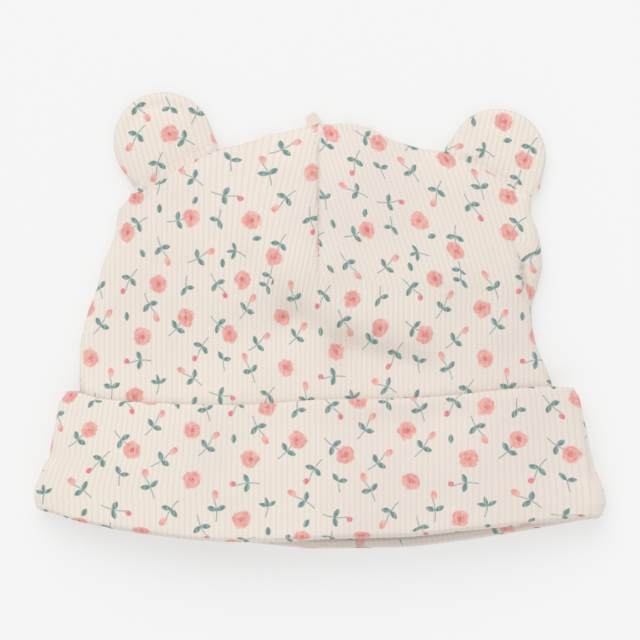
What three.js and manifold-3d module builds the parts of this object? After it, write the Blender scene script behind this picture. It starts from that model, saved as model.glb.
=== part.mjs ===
// A newborn's beanie in doubled rib knit, with two round ears sewn into the crown seam and a turned-up cuff.
// It lies flat on its back, as a shop lays it out: +X to the right as seen from above, +Y from the mouth to
// the crown, +Z up from the surface it lies on. Millimetres. The origin is on that surface, under the middle
// of the whole hat.
//
// The cloth is a flattened tube. A place on it has three coordinates:
//   column  where it is round the tube: a share across the hat, and whether it is on the front or the back
//   reach   0 at the bottom fold, 1 at the cuff's hem, 2 at the crown seam
//   layer   which surface of the cloth it is on, from the inside of the hat to the outside of the cuff
import * as THREE from "three";
import { mergeVertices } from "three/addons/utils/BufferGeometryUtils.js";
import Module from "manifold-3d";

// Driving dimensions
const CLOTH = 2; // two plies of rib knit, worn as one wall
const SLIP = 0.4; // between walls that lie against each other
const SEAT = 0.3; // between the crown seam and what is sewn into it
const INNER_FOLD = 0.8; // inside radius of the crown's side folds and its seam
const CROWN_HALF_WIDTH = 72; // at the hem of the cuff
const CORNER_RISE = 107; // from the mouth to where the crown's sides meet the ears
const DOME_RISE = 21; // from those corners to the top of the crown seam
const HEM_RISE = 45.5; // from the mouth to the cuff's hem
const MOUTH_BOW = 11.5; // how far the mouth's ends lie above its middle
const CUFF_FLARE = 11.5; // how far the cuff stands out at the bottom fold
const LOFT = 10.4; // how far the crown's front swells above its folds
const TURN_LEG = 2; // how far the cuff's cloth runs up inside the hat, past its turn

const DART_DEPTH = 0.9; // the seam that takes in the crown, front and back
const DART_HALF_WIDTH = 2.2;
const DART_FOOT_REACH = 1.34; // where it runs out
const DART_FADE_REACH = 0.25; // over which it does

const EAR_THICKNESS = 4.4;
const EAR_RIM_RADIUS = 1.3;
// The across share is of the crown's half width, and the stand share, of the ear's radius, is how far its
// middle lies above the seam.
const LEFT_EAR = { radius: 15, acrossShare: -0.654, standShare: 0.72 };
const RIGHT_EAR = { radius: 14.5, acrossShare: 0.747, standShare: 0.42 };

const TIP_FOOT = 4.6; // the folded end of the crown seam, which stands out at the top: width at its foot
const TIP_TOP = 3.2; // and at its free end
const TIP_LENGTH = 5.8;
const TIP_SUNK = 2.8; // how much of it is within the seam
const TIP_THICKNESS = 1.8;
const TIP_LEAN_ANGLE = 0.42; // radians to the left
const TIP_ACROSS = -1.4;

// The crown's sides, as shares of its half width, by the share of the way from hem to corner.
const CROWN_SIDES = [
  { up: 0.0, left: 1.0, right: 0.975 },
  { up: 0.12, left: 1.004, right: 0.946 },
  { up: 0.245, left: 1.0, right: 0.904 },
  { up: 0.4, left: 0.97, right: 0.888 },
  { up: 0.52, left: 0.932, right: 0.912 },
  { up: 0.64, left: 0.908, right: 0.933 },
  { up: 0.73, left: 0.875, right: 0.926 },
  { up: 0.82, left: 0.852, right: 0.91 },
  { up: 0.91, left: 0.842, right: 0.885 },
  { up: 1.0, left: 0.79, right: 0.89 },
];

// The crown seam's rise above the corners, as a share of the dome's rise, by the share across.
const CROWN_TOP = [
  { across: -1, up: 0 },
  { across: -0.78, up: 0.33 },
  { across: -0.558, up: 0.64 },
  { across: -0.45, up: 0.7 },
  { across: -0.3, up: 0.84 },
  { across: -0.155, up: 0.93 },
  { across: -0.056, up: 0.99 },
  { across: 0.09, up: 1 },
  { across: 0.19, up: 0.94 },
  { across: 0.312, up: 0.76 },
  { across: 0.435, up: 0.655 },
  { across: 0.582, up: 0.58 },
  { across: 0.79, up: 0.3 },
  { across: 1, up: 0 },
];

// The two edges of the mouth, as shares of its bow, and the hem, as a share of its rise.
const MOUTH = [
  { across: -1, front: 1, back: 1, hem: 1.045 },
  { across: -0.85, front: 0.71, back: 0.73, hem: 0.99 },
  { across: -0.6, front: 0.4, back: 0.42, hem: 0.964 },
  { across: -0.35, front: 0.23, back: 0.24, hem: 0.955 },
  { across: -0.15, front: 0.22, back: 0.08, hem: 0.972 },
  { across: 0, front: 0.29, back: 0, hem: 0.99 },
  { across: 0.3, front: 0.35, back: 0.04, hem: 0.998 },
  { across: 0.5, front: 0.49, back: 0.2, hem: 1.016 },
  { across: 0.7, front: 0.63, back: 0.42, hem: 1.05 },
  { across: 0.9, front: 0.76, back: 0.68, hem: 1.074 },
  { across: 1, front: 0.8, back: 0.8, hem: 1.066 },
];

// How far the cuff's sides stand out from the crown inside it, as shares of its flare, by reach.
const CUFF_SIDES = [
  { reach: 0.0, left: 0.96, right: 1.13 },
  { reach: 0.06, left: 1.0, right: 1.19 },
  { reach: 0.12, left: 0.985, right: 1.165 },
  { reach: 0.22, left: 0.88, right: 1.08 },
  { reach: 0.33, left: 0.75, right: 0.91 },
  { reach: 0.43, left: 0.6, right: 0.83 },
  { reach: 0.55, left: 0.545, right: 0.75 },
  { reach: 0.76, left: 0.42, right: 0.62 },
  { reach: 0.95, left: 0.31, right: 0.48 },
  { reach: 1.0, left: 0.2, right: 0.38 },
];

// The swell of the crown's front, as a share of its loft, and how much of the cuff's back wall lies under it.
const CROWN_LIFT = [
  { reach: 0, loft: 0.615, under: 1 },
  { reach: 0.5, loft: 0.645, under: 1 },
  { reach: 1, loft: 0.615, under: 1 },
  { reach: 1.1, loft: 0.675, under: 0.4 },
  { reach: 1.2, loft: 0.77, under: 0 },
  { reach: 1.35, loft: 0.875, under: 0 },
  { reach: 1.5, loft: 1, under: 0 },
  { reach: 1.65, loft: 0.97, under: 0 },
  { reach: 1.8, loft: 0.69, under: 0 },
  { reach: 1.92, loft: 0.32, under: 0 },
  { reach: 2, loft: 0, under: 0 },
];

// Soft hollows and swells of the front, as shares of the loft: where the middle is, then the spread.
const FRONT_SWELLS = [
  { across: -0.14, reach: 1.27, wide: 0.26, tall: 0.1, lift: -0.15 },
  { across: 0.24, reach: 1.14, wide: 0.34, tall: 0.11, lift: -0.18 },
  { across: 0.1, reach: 1.5, wide: 0.5, tall: 0.14, lift: 0.08 },
  { across: -0.62, reach: 1.78, wide: 0.2, tall: 0.1, lift: -0.12 },
  { across: 0.62, reach: 1.76, wide: 0.2, tall: 0.12, lift: -0.09 },
  { across: 0.3, reach: 0.82, wide: 0.26, tall: 0.14, lift: -0.09 },
  { across: -0.45, reach: 0.6, wide: 0.3, tall: 0.3, lift: 0.05 },
];
const SWELL_POWER = 2.2; // how level the swell stays before it falls to the sides
const HOLLOW_POWER = 4; // the same of the hollows in it
const HEM_REACH = 1;
const SEAM_REACH = 2;
const SEAM_EASE_REACH = 0.12; // below the seam, over which hollows and dart run out

// How finely each direction is divided
const FOLD_STEPS = 3;
const PANEL_STEPS = [0.07, 0.16, 0.25, 0.34, 0.42, 0.475, 0.5, 0.525, 0.58, 0.66, 0.75, 0.84, 0.93];
const CROWN_REACHES = [0.35, 0.7, 1, 1.08, 1.16, 1.25, 1.34, 1.43, 1.52, 1.61, 1.7, 1.78, 1.86, 1.92];
const SEAM_STEPS = 3;
const CUFF_REACHES = CUFF_SIDES.map((row) => row.reach);
const TURN_STEPS = 6;
const HEM_STEPS = 3;
const EAR_SIDES = 32;
const EAR_FACE_RINGS = [0.35, 0.7];
const EAR_RIM_STEPS = 3;

const FOLD_RADIUS = INNER_FOLD + CLOTH; // outside of the crown's side folds and its seam
const TURN_RADIUS = (2 * CLOTH + SLIP) / 2; // outside of the cuff's turn at the mouth

// The cloth's surfaces, from the inside out: how far each lies outside the crown's outer surface.
const LAYERS = {
  crownIn: { out: -CLOTH, onCuff: false },
  crownOut: { out: 0, onCuff: false },
  crownClear: { out: SEAT, onCuff: false },
  cuffIn: { out: SLIP, onCuff: true },
  cuffOut: { out: SLIP + CLOTH, onCuff: true },
};

const QUARTER_TURN = Math.PI / 2;
const mix = (a, b, t) => a + (b - a) * t;
const unit = (t) => Math.min(Math.max(t, 0), 1);
const smooth = (t) => unit(t) ** 2 * (3 - 2 * unit(t));
const roundUp = (t) => Math.sqrt(1 - (1 - unit(t)) ** 2);
const bell = (t) => Math.exp(-t * t);

// Smooth value of a table's column at a place, through its rows and without overshoot.
function along(rows, key, at, column) {
  const last = rows.length - 1;
  const clamped = Math.min(Math.max(at, rows[0][key]), rows[last][key]);
  let i = 0;
  while (i < last - 1 && clamped > rows[i + 1][key]) i += 1;
  const slopeAt = (n) => {
    if (n === 0 || n === last) return 0;
    const before = (rows[n][column] - rows[n - 1][column]) / (rows[n][key] - rows[n - 1][key]);
    const after = (rows[n + 1][column] - rows[n][column]) / (rows[n + 1][key] - rows[n][key]);
    return before * after > 0 ? (2 * before * after) / (before + after) : 0;
  };
  const span = rows[i + 1][key] - rows[i][key];
  const t = (clamped - rows[i][key]) / span;
  const passed = 3 * t ** 2 - 2 * t ** 3;
  const start = (1 - passed) * rows[i][column] + t * (1 - t) ** 2 * span * slopeAt(i);
  const end = passed * rows[i + 1][column] - t ** 2 * (1 - t) * span * slopeAt(i + 1);
  return start + end;
}

// X of the hat's left or right side: -1 or 1 as side, at a reach, on a layer.
function sideAt(side, reach, layer) {
  const name = side < 0 ? "left" : "right";
  const crownAt = (up) => CROWN_HALF_WIDTH * along(CROWN_SIDES, "up", up, name);
  const cuffSide = crownAt(0) + CUFF_FLARE * along(CUFF_SIDES, "reach", reach, name);
  const inCuff = mix(cuffSide, crownAt(0), smooth(reach));
  const bare = reach < HEM_REACH ? inCuff : crownAt(reach - HEM_REACH);
  return side * ((layer.onCuff ? cuffSide : bare) + layer.out);
}

// Y of a place, by its share across and its reach, before the turn that the cuff adds below reach 0.
function riseAt(face, across, reach, layer) {
  const fold = MOUTH_BOW * along(MOUTH, "across", across, face) + TURN_RADIUS;
  const hem = HEM_RISE * along(MOUTH, "across", across, "hem") - CLOTH / 2;
  if (reach <= HEM_REACH) return mix(fold, hem, reach);
  const top = CORNER_RISE + DOME_RISE * along(CROWN_TOP, "across", across, "up") + layer.out;
  return mix(hem, top, reach - HEM_REACH);
}

// The swell of the front above the side folds, alike on every layer, so that the walls stay parallel.
function swellAt(across, reach) {
  const inside = unit((SEAM_REACH - reach) / SEAM_EASE_REACH) * (1 - Math.abs(across) ** HOLLOW_POWER);
  let swell = along(CROWN_LIFT, "reach", reach, "loft") * (1 - Math.abs(across) ** SWELL_POWER);
  for (const row of FRONT_SWELLS) {
    const near = bell((across - row.across) / row.wide) * bell((reach - row.reach) / row.tall);
    swell += row.lift * near * inside;
  }
  return LOFT * swell;
}

// How far the seam down the middle of the crown draws its cloth in.
function dartAt(x, reach) {
  const runOut = smooth((reach - DART_FOOT_REACH) / DART_FADE_REACH);
  const atSeam = unit((SEAM_REACH - reach) / SEAM_EASE_REACH);
  return DART_DEPTH * bell(x / DART_HALF_WIDTH) * runOut * atSeam;
}

// A point of the cloth. A column gives its face, its share across the panel and how far it has turned into
// the panel round a side fold.
function placeAt(column, reach, layer) {
  const radius = FOLD_RADIUS + layer.out;
  const low = sideAt(-1, reach, layer);
  const high = sideAt(1, reach, layer);
  const inset = radius * (1 - Math.cos(column.turn));
  let x = mix(low + radius, high - radius, column.share);
  if (column.fold < 0) x = low + inset;
  if (column.fold > 0) x = high - inset;
  const across = (2 * x - low - high) / (high - low);
  const y = riseAt(column.face, across, reach, layer);
  const seam = riseAt(column.face, across, SEAM_REACH, layer);
  const fromSide = Math.min(x - low, high - x);
  const round = radius * roundUp(fromSide / radius) * roundUp((seam - y) / radius);
  const middle = FOLD_RADIUS + (SLIP + CLOTH) * along(CROWN_LIFT, "reach", reach, "under");
  const dart = Math.min(dartAt(x, reach), round);
  if (column.face === "back") return new THREE.Vector3(x, y, middle - round + dart);
  return new THREE.Vector3(x, y, middle + round + swellAt(across, reach) * Math.sign(round) - dart);
}

// The columns once round the tube: front from left to right, then back from right to left.
function columnsRound() {
  const turns = [];
  for (let i = 1; i < FOLD_STEPS; i += 1) turns.push((i / FOLD_STEPS) * QUARTER_TURN);
  const half = (face) => [
    ...turns.map((turn) => ({ face, fold: -1, turn, share: 0 })),
    ...[0, ...PANEL_STEPS, 1].map((share) => ({ face, fold: 0, turn: QUARTER_TURN, share })),
    ...turns.map((turn) => ({ face, fold: 1, turn, share: 1 })).reverse(),
  ];
  const leftFold = { face: "front", fold: -1, turn: 0, share: 0 };
  const rightFold = { face: "front", fold: 1, turn: 0, share: 1 };
  return [leftFold, ...half("front"), rightFold, ...half("back").reverse()];
}
const COLUMNS = columnsRound();

// The quads between each ring of points and the next as triangles, with the last ring joined to the first
// where the band is closed.
function bandTriangles(rings, closed) {
  const count = rings[0].length;
  const triangles = [];
  const bands = closed ? rings.length : rings.length - 1;
  for (let r = 0; r < bands; r += 1) {
    const lower = rings[r];
    const upper = rings[(r + 1) % rings.length];
    for (let i = 0; i < count; i += 1) {
      const j = (i + 1) % count;
      triangles.push([lower[i], lower[j], upper[j]]);
      triangles.push([lower[i], upper[j], upper[i]]);
    }
  }
  return triangles;
}

const WELD = 1e-4; // points this near are one

// Triangles as a geometry with shared corners, without those that have shrunk to a line.
function geometryOf(triangles) {
  const corners = triangles.flatMap((triangle) => triangle.flatMap((point) => point.toArray()));
  const loose = new THREE.BufferGeometry();
  loose.setAttribute("position", new THREE.Float32BufferAttribute(corners, 3));
  const merged = mergeVertices(loose, WELD);
  const index = [];
  for (let i = 0; i < merged.index.count; i += 3) {
    const [a, b, c] = [0, 1, 2].map((n) => merged.index.getX(i + n));
    if (a !== b && b !== c && c !== a) index.push(a, b, c);
  }
  merged.setIndex(index);
  return merged;
}

// One surface of the crown from a reach up to the seam, where its front and back close on each other.
function crownRings(layer, foot) {
  const ring = (reach) => COLUMNS.map((column) => placeAt(column, reach, layer));
  const rings = [foot, ...CROWN_REACHES].map(ring);
  const radius = FOLD_RADIUS + layer.out;
  const lastReach = CROWN_REACHES[CROWN_REACHES.length - 1];
  for (let step = 1; step <= SEAM_STEPS; step += 1) {
    const turn = (step / SEAM_STEPS) * QUARTER_TURN;
    rings.push(
      COLUMNS.map((column) => {
        const rise = placeAt(column, SEAM_REACH, layer).y - placeAt(column, lastReach, layer).y;
        const drop = Math.min(radius, rise) * (1 - Math.sin(turn));
        return placeAt(column, mix(lastReach, SEAM_REACH, 1 - drop / rise), layer);
      }),
    );
  }
  return rings;
}

function crownGeometry() {
  const foot = (TURN_LEG + SLIP) / HEM_RISE;
  const outer = crownRings(LAYERS.crownOut, foot);
  const inner = crownRings(LAYERS.crownIn, foot);
  return geometryOf(bandTriangles([...inner.reverse(), ...outer], false));
}

// The crown's outer form without its hollow, a seat's clearance larger, to shape what is sewn into the seam.
function crownForm() {
  const rings = crownRings(LAYERS.crownClear, 0);
  const mouth = rings[0];
  const floor = [];
  const back = (n) => mouth[(COLUMNS.length - n) % COLUMNS.length];
  for (let i = 0; i < COLUMNS.length / 2; i += 1) {
    floor.push([back(i), back(i + 1), mouth[i + 1]]);
    floor.push([back(i), mouth[i + 1], mouth[i]]);
  }
  return geometryOf([...bandTriangles(rings, false), ...floor]);
}

// Rings that lead round a half circle from one ring to another, with the circle's bulge along Y.
function roundBetween(from, to, bulge, steps) {
  const rings = [];
  for (let step = 1; step < steps; step += 1) {
    const turn = (step / steps) * Math.PI;
    const share = (1 - Math.cos(turn)) / 2;
    const out = bulge * Math.sin(turn);
    rings.push(from.map((point, i) => point.clone().lerp(to[i], share).add(new THREE.Vector3(0, out, 0))));
  }
  return rings;
}

// The cuff's cross-section: up the outside from the turn, over the hem, down inside it to the slot that holds
// the crown, round the short leg inside the hat, and back through the turn.
function cuffGeometry() {
  const { crownIn, crownOut, cuffIn, cuffOut } = LAYERS;
  const ring = (reach, layer) => COLUMNS.map((column) => placeAt(column, reach, layer));
  const legReach = TURN_LEG / HEM_RISE;
  const outside = CUFF_REACHES.map((reach) => ring(reach, cuffOut));
  const hem = roundBetween(ring(HEM_REACH, cuffOut), ring(HEM_REACH, cuffIn), CLOTH / 2, HEM_STEPS);
  const inside = CUFF_REACHES.map((reach) => ring(reach, cuffIn)).reverse();
  const leg = [ring(0, crownOut), ring(legReach, crownOut), ring(legReach, crownIn), ring(0, crownIn)];
  const turn = roundBetween(ring(0, crownIn), ring(0, cuffOut), -TURN_RADIUS, TURN_STEPS);
  return geometryOf(bandTriangles([...outside, ...hem, ...inside, ...leg, ...turn], true));
}

// A round, softly domed pad, the shape of an ear before it is sewn in.
function earPad({ radius }) {
  const face = EAR_FACE_RINGS.map((share) => [
    share * radius,
    mix(EAR_THICKNESS / 2, EAR_RIM_RADIUS, share ** 2),
  ]);
  const rim = [];
  for (let step = EAR_RIM_STEPS; step > 0; step -= 1) {
    const turn = (step / EAR_RIM_STEPS) * QUARTER_TURN;
    rim.push([radius - EAR_RIM_RADIUS * (1 - Math.cos(turn)), EAR_RIM_RADIUS * Math.sin(turn)]);
  }
  const top = [[0, EAR_THICKNESS / 2], ...face, ...rim];
  const under = top.map(([r, z]) => [r, -z]);
  const profile = [...under, [radius, 0], ...top.reverse()].map(([r, z]) => new THREE.Vector2(r, z));
  return new THREE.LatheGeometry(profile, EAR_SIDES).rotateX(QUARTER_TURN);
}

// The folded end of the crown seam, a small soft tab that narrows to its free end.
function tipTab() {
  const outline = new THREE.Shape();
  outline.moveTo(-TIP_FOOT / 2, 0);
  outline.lineTo(TIP_FOOT / 2, 0);
  outline.lineTo(TIP_TOP / 2, TIP_LENGTH);
  outline.lineTo(-TIP_TOP / 2, TIP_LENGTH);
  outline.closePath();
  const tab = new THREE.ExtrudeGeometry(outline, { depth: TIP_THICKNESS, bevelEnabled: false });
  return tab.translate(0, -TIP_SUNK, -TIP_THICKNESS / 2);
}

// A point on the crown seam, midway through its thickness.
function seamPoint(x) {
  const low = sideAt(-1, SEAM_REACH, LAYERS.crownOut);
  const high = sideAt(1, SEAM_REACH, LAYERS.crownOut);
  const across = (2 * x - low - high) / (high - low);
  return new THREE.Vector3(x, riseAt("front", across, SEAM_REACH, LAYERS.crownOut), FOLD_RADIUS);
}

const wasm = await Module();
wasm.setup();

function solidOf(geometry) {
  const bare = geometry.index ? geometry.toNonIndexed() : geometry.clone();
  const positions = new THREE.BufferGeometry().setAttribute("position", bare.getAttribute("position"));
  const merged = mergeVertices(positions, WELD);
  const vertProperties = merged.attributes.position.array;
  const triVerts = new Uint32Array(merged.index.array);
  return new wasm.Manifold(new wasm.Mesh({ numProp: 3, vertProperties, triVerts }));
}

// What is left of a geometry once the crown's seam has its place.
function sewnIn(geometry) {
  const left = solidOf(geometry).subtract(solidOf(crownForm()));
  const { vertProperties, triVerts } = left.getMesh();
  const cut = new THREE.BufferGeometry();
  cut.setAttribute("position", new THREE.Float32BufferAttribute(vertProperties, 3));
  cut.setIndex([...triVerts]);
  return cut;
}

function ear(place) {
  const foot = seamPoint(place.acrossShare * CROWN_HALF_WIDTH);
  return sewnIn(earPad(place).translate(foot.x, foot.y + place.standShare * place.radius, foot.z));
}

function seamTip() {
  const foot = seamPoint(TIP_ACROSS);
  return sewnIn(tipTab().rotateZ(TIP_LEAN_ANGLE).translate(foot.x, foot.y, foot.z));
}

const rib = (name, color) => new THREE.MeshStandardMaterial({ name, color, roughness: 0.95, metalness: 0 });
const printedRib = rib("printed_rib", 0xede5d8);
const bareRib = rib("bare_rib", 0xe9dccf);

function piece(name, geometry, material) {
  const shaded = geometry.toNonIndexed();
  shaded.computeVertexNormals();
  const mesh = new THREE.Mesh(shaded, material);
  mesh.name = name;
  return mesh;
}

const hat = new THREE.Group();
hat.name = "baby_hat_with_ears";
hat.add(piece("crown", crownGeometry(), printedRib));
hat.add(piece("cuff", cuffGeometry(), printedRib));
hat.add(piece("ear_left", ear(LEFT_EAR), printedRib));
hat.add(piece("ear_right", ear(RIGHT_EAR), printedRib));
hat.add(piece("seam_tip", seamTip(), bareRib));

const extent = new THREE.Box3().setFromObject(hat);
const middle = extent.getCenter(new THREE.Vector3());
hat.position.set(-middle.x, -middle.y, -extent.min.z);

export default hat;
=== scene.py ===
"""Looks of the baby hat with ears: cream rib knit with a small rose print, laid flat on a pale floor.

The CAD frame gives the places. Each sewn part is a class of its own, and each finish a frozen dataclass.
Lengths of the hat are in millimetres until a mesh is made. A place on the cloth is also given in chart
units, 0.3 mm each: u across the cloth and v down it, in which the repeat of the print is charted.
"""

import logging
import math
from dataclasses import dataclass, field
from enum import Enum, IntEnum
from functools import partialmethod, reduce

import bpy
import numpy as np
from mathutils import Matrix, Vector

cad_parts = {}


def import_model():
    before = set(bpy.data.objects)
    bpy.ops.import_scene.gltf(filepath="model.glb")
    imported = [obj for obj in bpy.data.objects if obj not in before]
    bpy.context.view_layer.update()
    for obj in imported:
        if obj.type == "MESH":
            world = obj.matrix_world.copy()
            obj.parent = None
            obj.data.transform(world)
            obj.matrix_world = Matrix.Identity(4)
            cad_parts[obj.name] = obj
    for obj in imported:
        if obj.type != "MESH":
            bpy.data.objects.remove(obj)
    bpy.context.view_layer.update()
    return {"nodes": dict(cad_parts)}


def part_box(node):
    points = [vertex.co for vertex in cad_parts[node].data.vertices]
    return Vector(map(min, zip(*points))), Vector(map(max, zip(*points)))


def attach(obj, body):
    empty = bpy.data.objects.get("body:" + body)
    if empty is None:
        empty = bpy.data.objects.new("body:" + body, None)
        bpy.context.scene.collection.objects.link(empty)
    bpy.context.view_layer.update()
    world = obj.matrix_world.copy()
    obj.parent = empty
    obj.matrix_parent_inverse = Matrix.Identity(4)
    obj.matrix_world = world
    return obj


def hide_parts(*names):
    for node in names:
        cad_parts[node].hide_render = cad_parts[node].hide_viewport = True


# Short names of types.
Array = np.ndarray
Socket = bpy.types.NodeSocket
Piece = bpy.types.Object

LOG = logging.getLogger("baby_hat")
METRE = 0.001
CHART_UNIT = 0.3
MAP_UNIT = 10
VIEW_MIDDLE = (320.0, 320.0)
MOUTH_LINE = 549.0

CLOTH = 2.0
SLIP = 0.4
INNER_FOLD = 0.8
CROWN_HALF_WIDTH = 72.0
CORNER_RISE = 107.0
DOME_RISE = 21.0
HEM_RISE = 45.5
MOUTH_BOW = 11.5
CUFF_FLARE = 11.5
LOFT = 10.4
TURN_LEG = 2.0
FOLD_RADIUS = INNER_FOLD + CLOTH
TURN_RADIUS = (2 * CLOTH + SLIP) / 2
SWELL_SQUARENESS = 2.2
HOLLOW_SQUARENESS = 4
SEAM_EASE = 0.12
CREASE_SHARE = 0.8
WAVE_HEIGHT = 0.2
WAVE_EASE = 5.0
FIRST_WAVE = (19, 41)
SECOND_WAVE = (57, 23)

CROWN_SIDES = {
    "up": (0.0, 0.12, 0.245, 0.4, 0.52, 0.64, 0.73, 0.82, 0.91, 1.0),
    "left": (1.0, 1.004, 1.0, 0.97, 0.932, 0.908, 0.875, 0.852, 0.842, 0.79),
    "right": (0.975, 0.946, 0.904, 0.888, 0.912, 0.933, 0.926, 0.91, 0.885, 0.89),
}
CROWN_TOP = {
    "across": (-1, -0.78, -0.558, -0.45, -0.3, -0.155, -0.056, 0.09, 0.19, 0.312, 0.435, 0.582, 0.79, 1),
    "up": (0, 0.33, 0.64, 0.7, 0.84, 0.93, 0.99, 1, 0.94, 0.76, 0.655, 0.58, 0.3, 0),
}
MOUTH = {
    "across": (-1, -0.85, -0.6, -0.35, -0.15, 0, 0.3, 0.5, 0.7, 0.9, 1),
    "front": (1, 0.71, 0.4, 0.23, 0.22, 0.29, 0.35, 0.49, 0.63, 0.76, 0.8),
    "back": (1, 0.73, 0.42, 0.24, 0.08, 0, 0.04, 0.2, 0.42, 0.68, 0.8),
    "hem": (1.045, 0.99, 0.964, 0.955, 0.972, 0.99, 0.998, 1.016, 1.05, 1.074, 1.066),
}
CUFF_SIDES = {
    "reach": (0.0, 0.06, 0.12, 0.22, 0.33, 0.43, 0.55, 0.76, 0.95, 1.0),
    "left": (0.96, 1.0, 0.985, 0.88, 0.75, 0.6, 0.545, 0.42, 0.31, 0.2),
    "right": (1.13, 1.19, 1.165, 1.08, 0.91, 0.83, 0.75, 0.62, 0.48, 0.38),
}
CROWN_LIFT = {
    "reach": (0, 0.5, 1, 1.1, 1.2, 1.35, 1.5, 1.65, 1.8, 1.92, 2),
    "loft": (0.615, 0.645, 0.615, 0.675, 0.77, 0.875, 1, 0.97, 0.69, 0.32, 0),
    "under": (1, 1, 1, 0.4, 0, 0, 0, 0, 0, 0, 0),
}


class Face(Enum):
    """The two panels of the flattened tube."""

    FRONT = "front"
    BACK = "back"


class Bloom(IntEnum):
    """What a motif of the print is, as the finish tells them apart."""

    BARE_SPRIG = 1
    ROSE_SPRIG = 2
    CORAL_SPRIG = 3
    PINK_SPRIG = 4
    ROSE = 5
    LEAF = 6
    THREE_LEAVES = 7


@dataclass(frozen=True)
class Layer:
    """One surface of the cloth: how far it lies outside the crown, and whether the cuff carries it."""

    out: float
    on_cuff: bool = False


CROWN_IN = Layer(-CLOTH)
CROWN_OUT = Layer(0.0)
CUFF_IN = Layer(SLIP, True)
CUFF_OUT = Layer(SLIP + CLOTH, True)


@dataclass(frozen=True)
class Swell:
    """A soft hollow or swell of the front, in shares of the cloth and of its loft."""

    across: float
    reach: float
    wide: float
    tall: float
    lift: float


FRONT_SWELLS = (
    Swell(-0.14, 1.27, 0.26, 0.1, -0.15),
    Swell(0.24, 1.14, 0.34, 0.11, -0.18),
    Swell(0.1, 1.5, 0.5, 0.14, 0.08),
    Swell(-0.62, 1.78, 0.2, 0.1, -0.12),
    Swell(0.62, 1.76, 0.2, 0.12, -0.09),
    Swell(0.3, 0.82, 0.26, 0.14, -0.09),
    Swell(-0.45, 0.6, 0.3, 0.3, 0.05),
)


@dataclass(frozen=True)
class Crease:
    """A soft crease of the front, from one chart place to another: its spread and its depth in mm."""

    start: tuple[float, float]
    end: tuple[float, float]
    spread: float
    depth: float


CREASES = (
    Crease((250, 268), (290, 318), 17, 1.7),
    Crease((292, 320), (343, 347), 17, 2.7),
    Crease((345, 348), (425, 370), 15, 2.3),
    Crease((350, 318), (410, 322), 24, -0.7),
    Crease((117, 236), (102, 264), 5, 0.8),
    Crease((102, 264), (90, 322), 6, 0.7),
    Crease((390, 415), (450, 412), 16, 0.7),
    Crease((180, 200), (215, 235), 14, 0.6),
    Crease((520, 250), (500, 330), 18, -0.6),
    Crease((555, 420), (585, 470), 12, 0.5),
    Crease((70, 430), (130, 470), 18, -0.4),
    Crease((510, 240), (523, 268), 3, 0.9),
    Crease((523, 268), (530, 308), 3, 1.8),
)


def chart_place(x: Array, y: Array) -> tuple[Array, Array]:
    """Chart place of the hat's own millimetres, seen from above.

    Args:
        x: mm from the middle.
        y: mm above the mouth.
    Returns:
        Chart x and y.
    """
    return x / CHART_UNIT + VIEW_MIDDLE[0], MOUTH_LINE - y / CHART_UNIT


def unit(value: Array) -> Array:
    """Holds values between 0 and 1.

    Args:
        value: the values.
    Returns:
        The held values.
    """
    return np.clip(value, 0.0, 1.0)


def smooth(value: Array) -> Array:
    """Eases from 0 to 1.

    Args:
        value: shares of the way.
    Returns:
        The eased shares.
    """
    held = unit(value)
    return held**2 * (3 - 2 * held)


def round_up(value: Array) -> Array:
    """Rises from 0 to 1 as a quarter circle does.

    Args:
        value: shares of the way.
    Returns:
        Heights of the quarter circle.
    """
    return np.sqrt(1 - (1 - unit(value)) ** 2)


def bell(value: Array) -> Array:
    """A soft bump of height 1.

    Args:
        value: distance in spreads.
    Returns:
        The bump's height.
    """
    return np.exp(-np.square(value))


def along(table: dict[str, tuple], key: str, column: str, at: Array) -> Array:
    """Smooth value of a table's column, through its rows and without overshoot.

    Args:
        table: named columns.
        key: the column that orders the rows.
        column: the column that is read.
        at: places along the key.
    Returns:
        The values there.
    """
    keys = np.array(table[key], float)
    values = np.array(table[column], float)
    steps = np.diff(values) / np.diff(keys)
    slopes = np.zeros(len(keys))
    product = steps[:-1] * steps[1:]
    total = np.where(product > 0, steps[:-1] + steps[1:], 1.0)
    slopes[1:-1] = np.where(product > 0, 2 * product / total, 0.0)
    held = np.clip(at, keys[0], keys[-1])
    row = np.clip(np.searchsorted(keys, held, side="left") - 1, 0, len(keys) - 2)
    span = keys[row + 1] - keys[row]
    t = (held - keys[row]) / span
    passed = 3 * t**2 - 2 * t**3
    start = (1 - passed) * values[row] + t * (1 - t) ** 2 * span * slopes[row]
    end = passed * values[row + 1] - t**2 * (1 - t) * span * slopes[row + 1]
    return start + end


@dataclass
class Columns:
    """The columns once round the tube: front from left to right, then back from right to left."""

    panel_steps: int
    fold_steps: int
    front: Array = field(init=False)
    fold: Array = field(init=False)
    turn: Array = field(init=False)
    share: Array = field(init=False)

    def __post_init__(self) -> None:
        """Lays out the columns."""
        turns = np.arange(1, self.fold_steps) / self.fold_steps * math.pi / 2
        shares = np.linspace(0, 1, self.panel_steps + 1)
        inner = len(turns)
        fold = np.concatenate([np.full(inner, -1), np.zeros(len(shares)), np.full(inner, 1)])
        turn = np.concatenate([turns, np.full(len(shares), math.pi / 2), turns[::-1]])
        share = np.concatenate([np.zeros(inner), shares, np.ones(inner)])
        self.fold = np.concatenate([[-1], fold, [1], fold[::-1]])
        self.turn = np.concatenate([[0], turn, [0], turn[::-1]])
        self.share = np.concatenate([[0], share, [1], share[::-1]])
        self.front = np.arange(len(self.fold)) <= len(fold) + 1

    @property
    def count(self) -> int:
        """How many columns there are.

        Returns:
            The count.
        """
        return len(self.fold)


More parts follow.
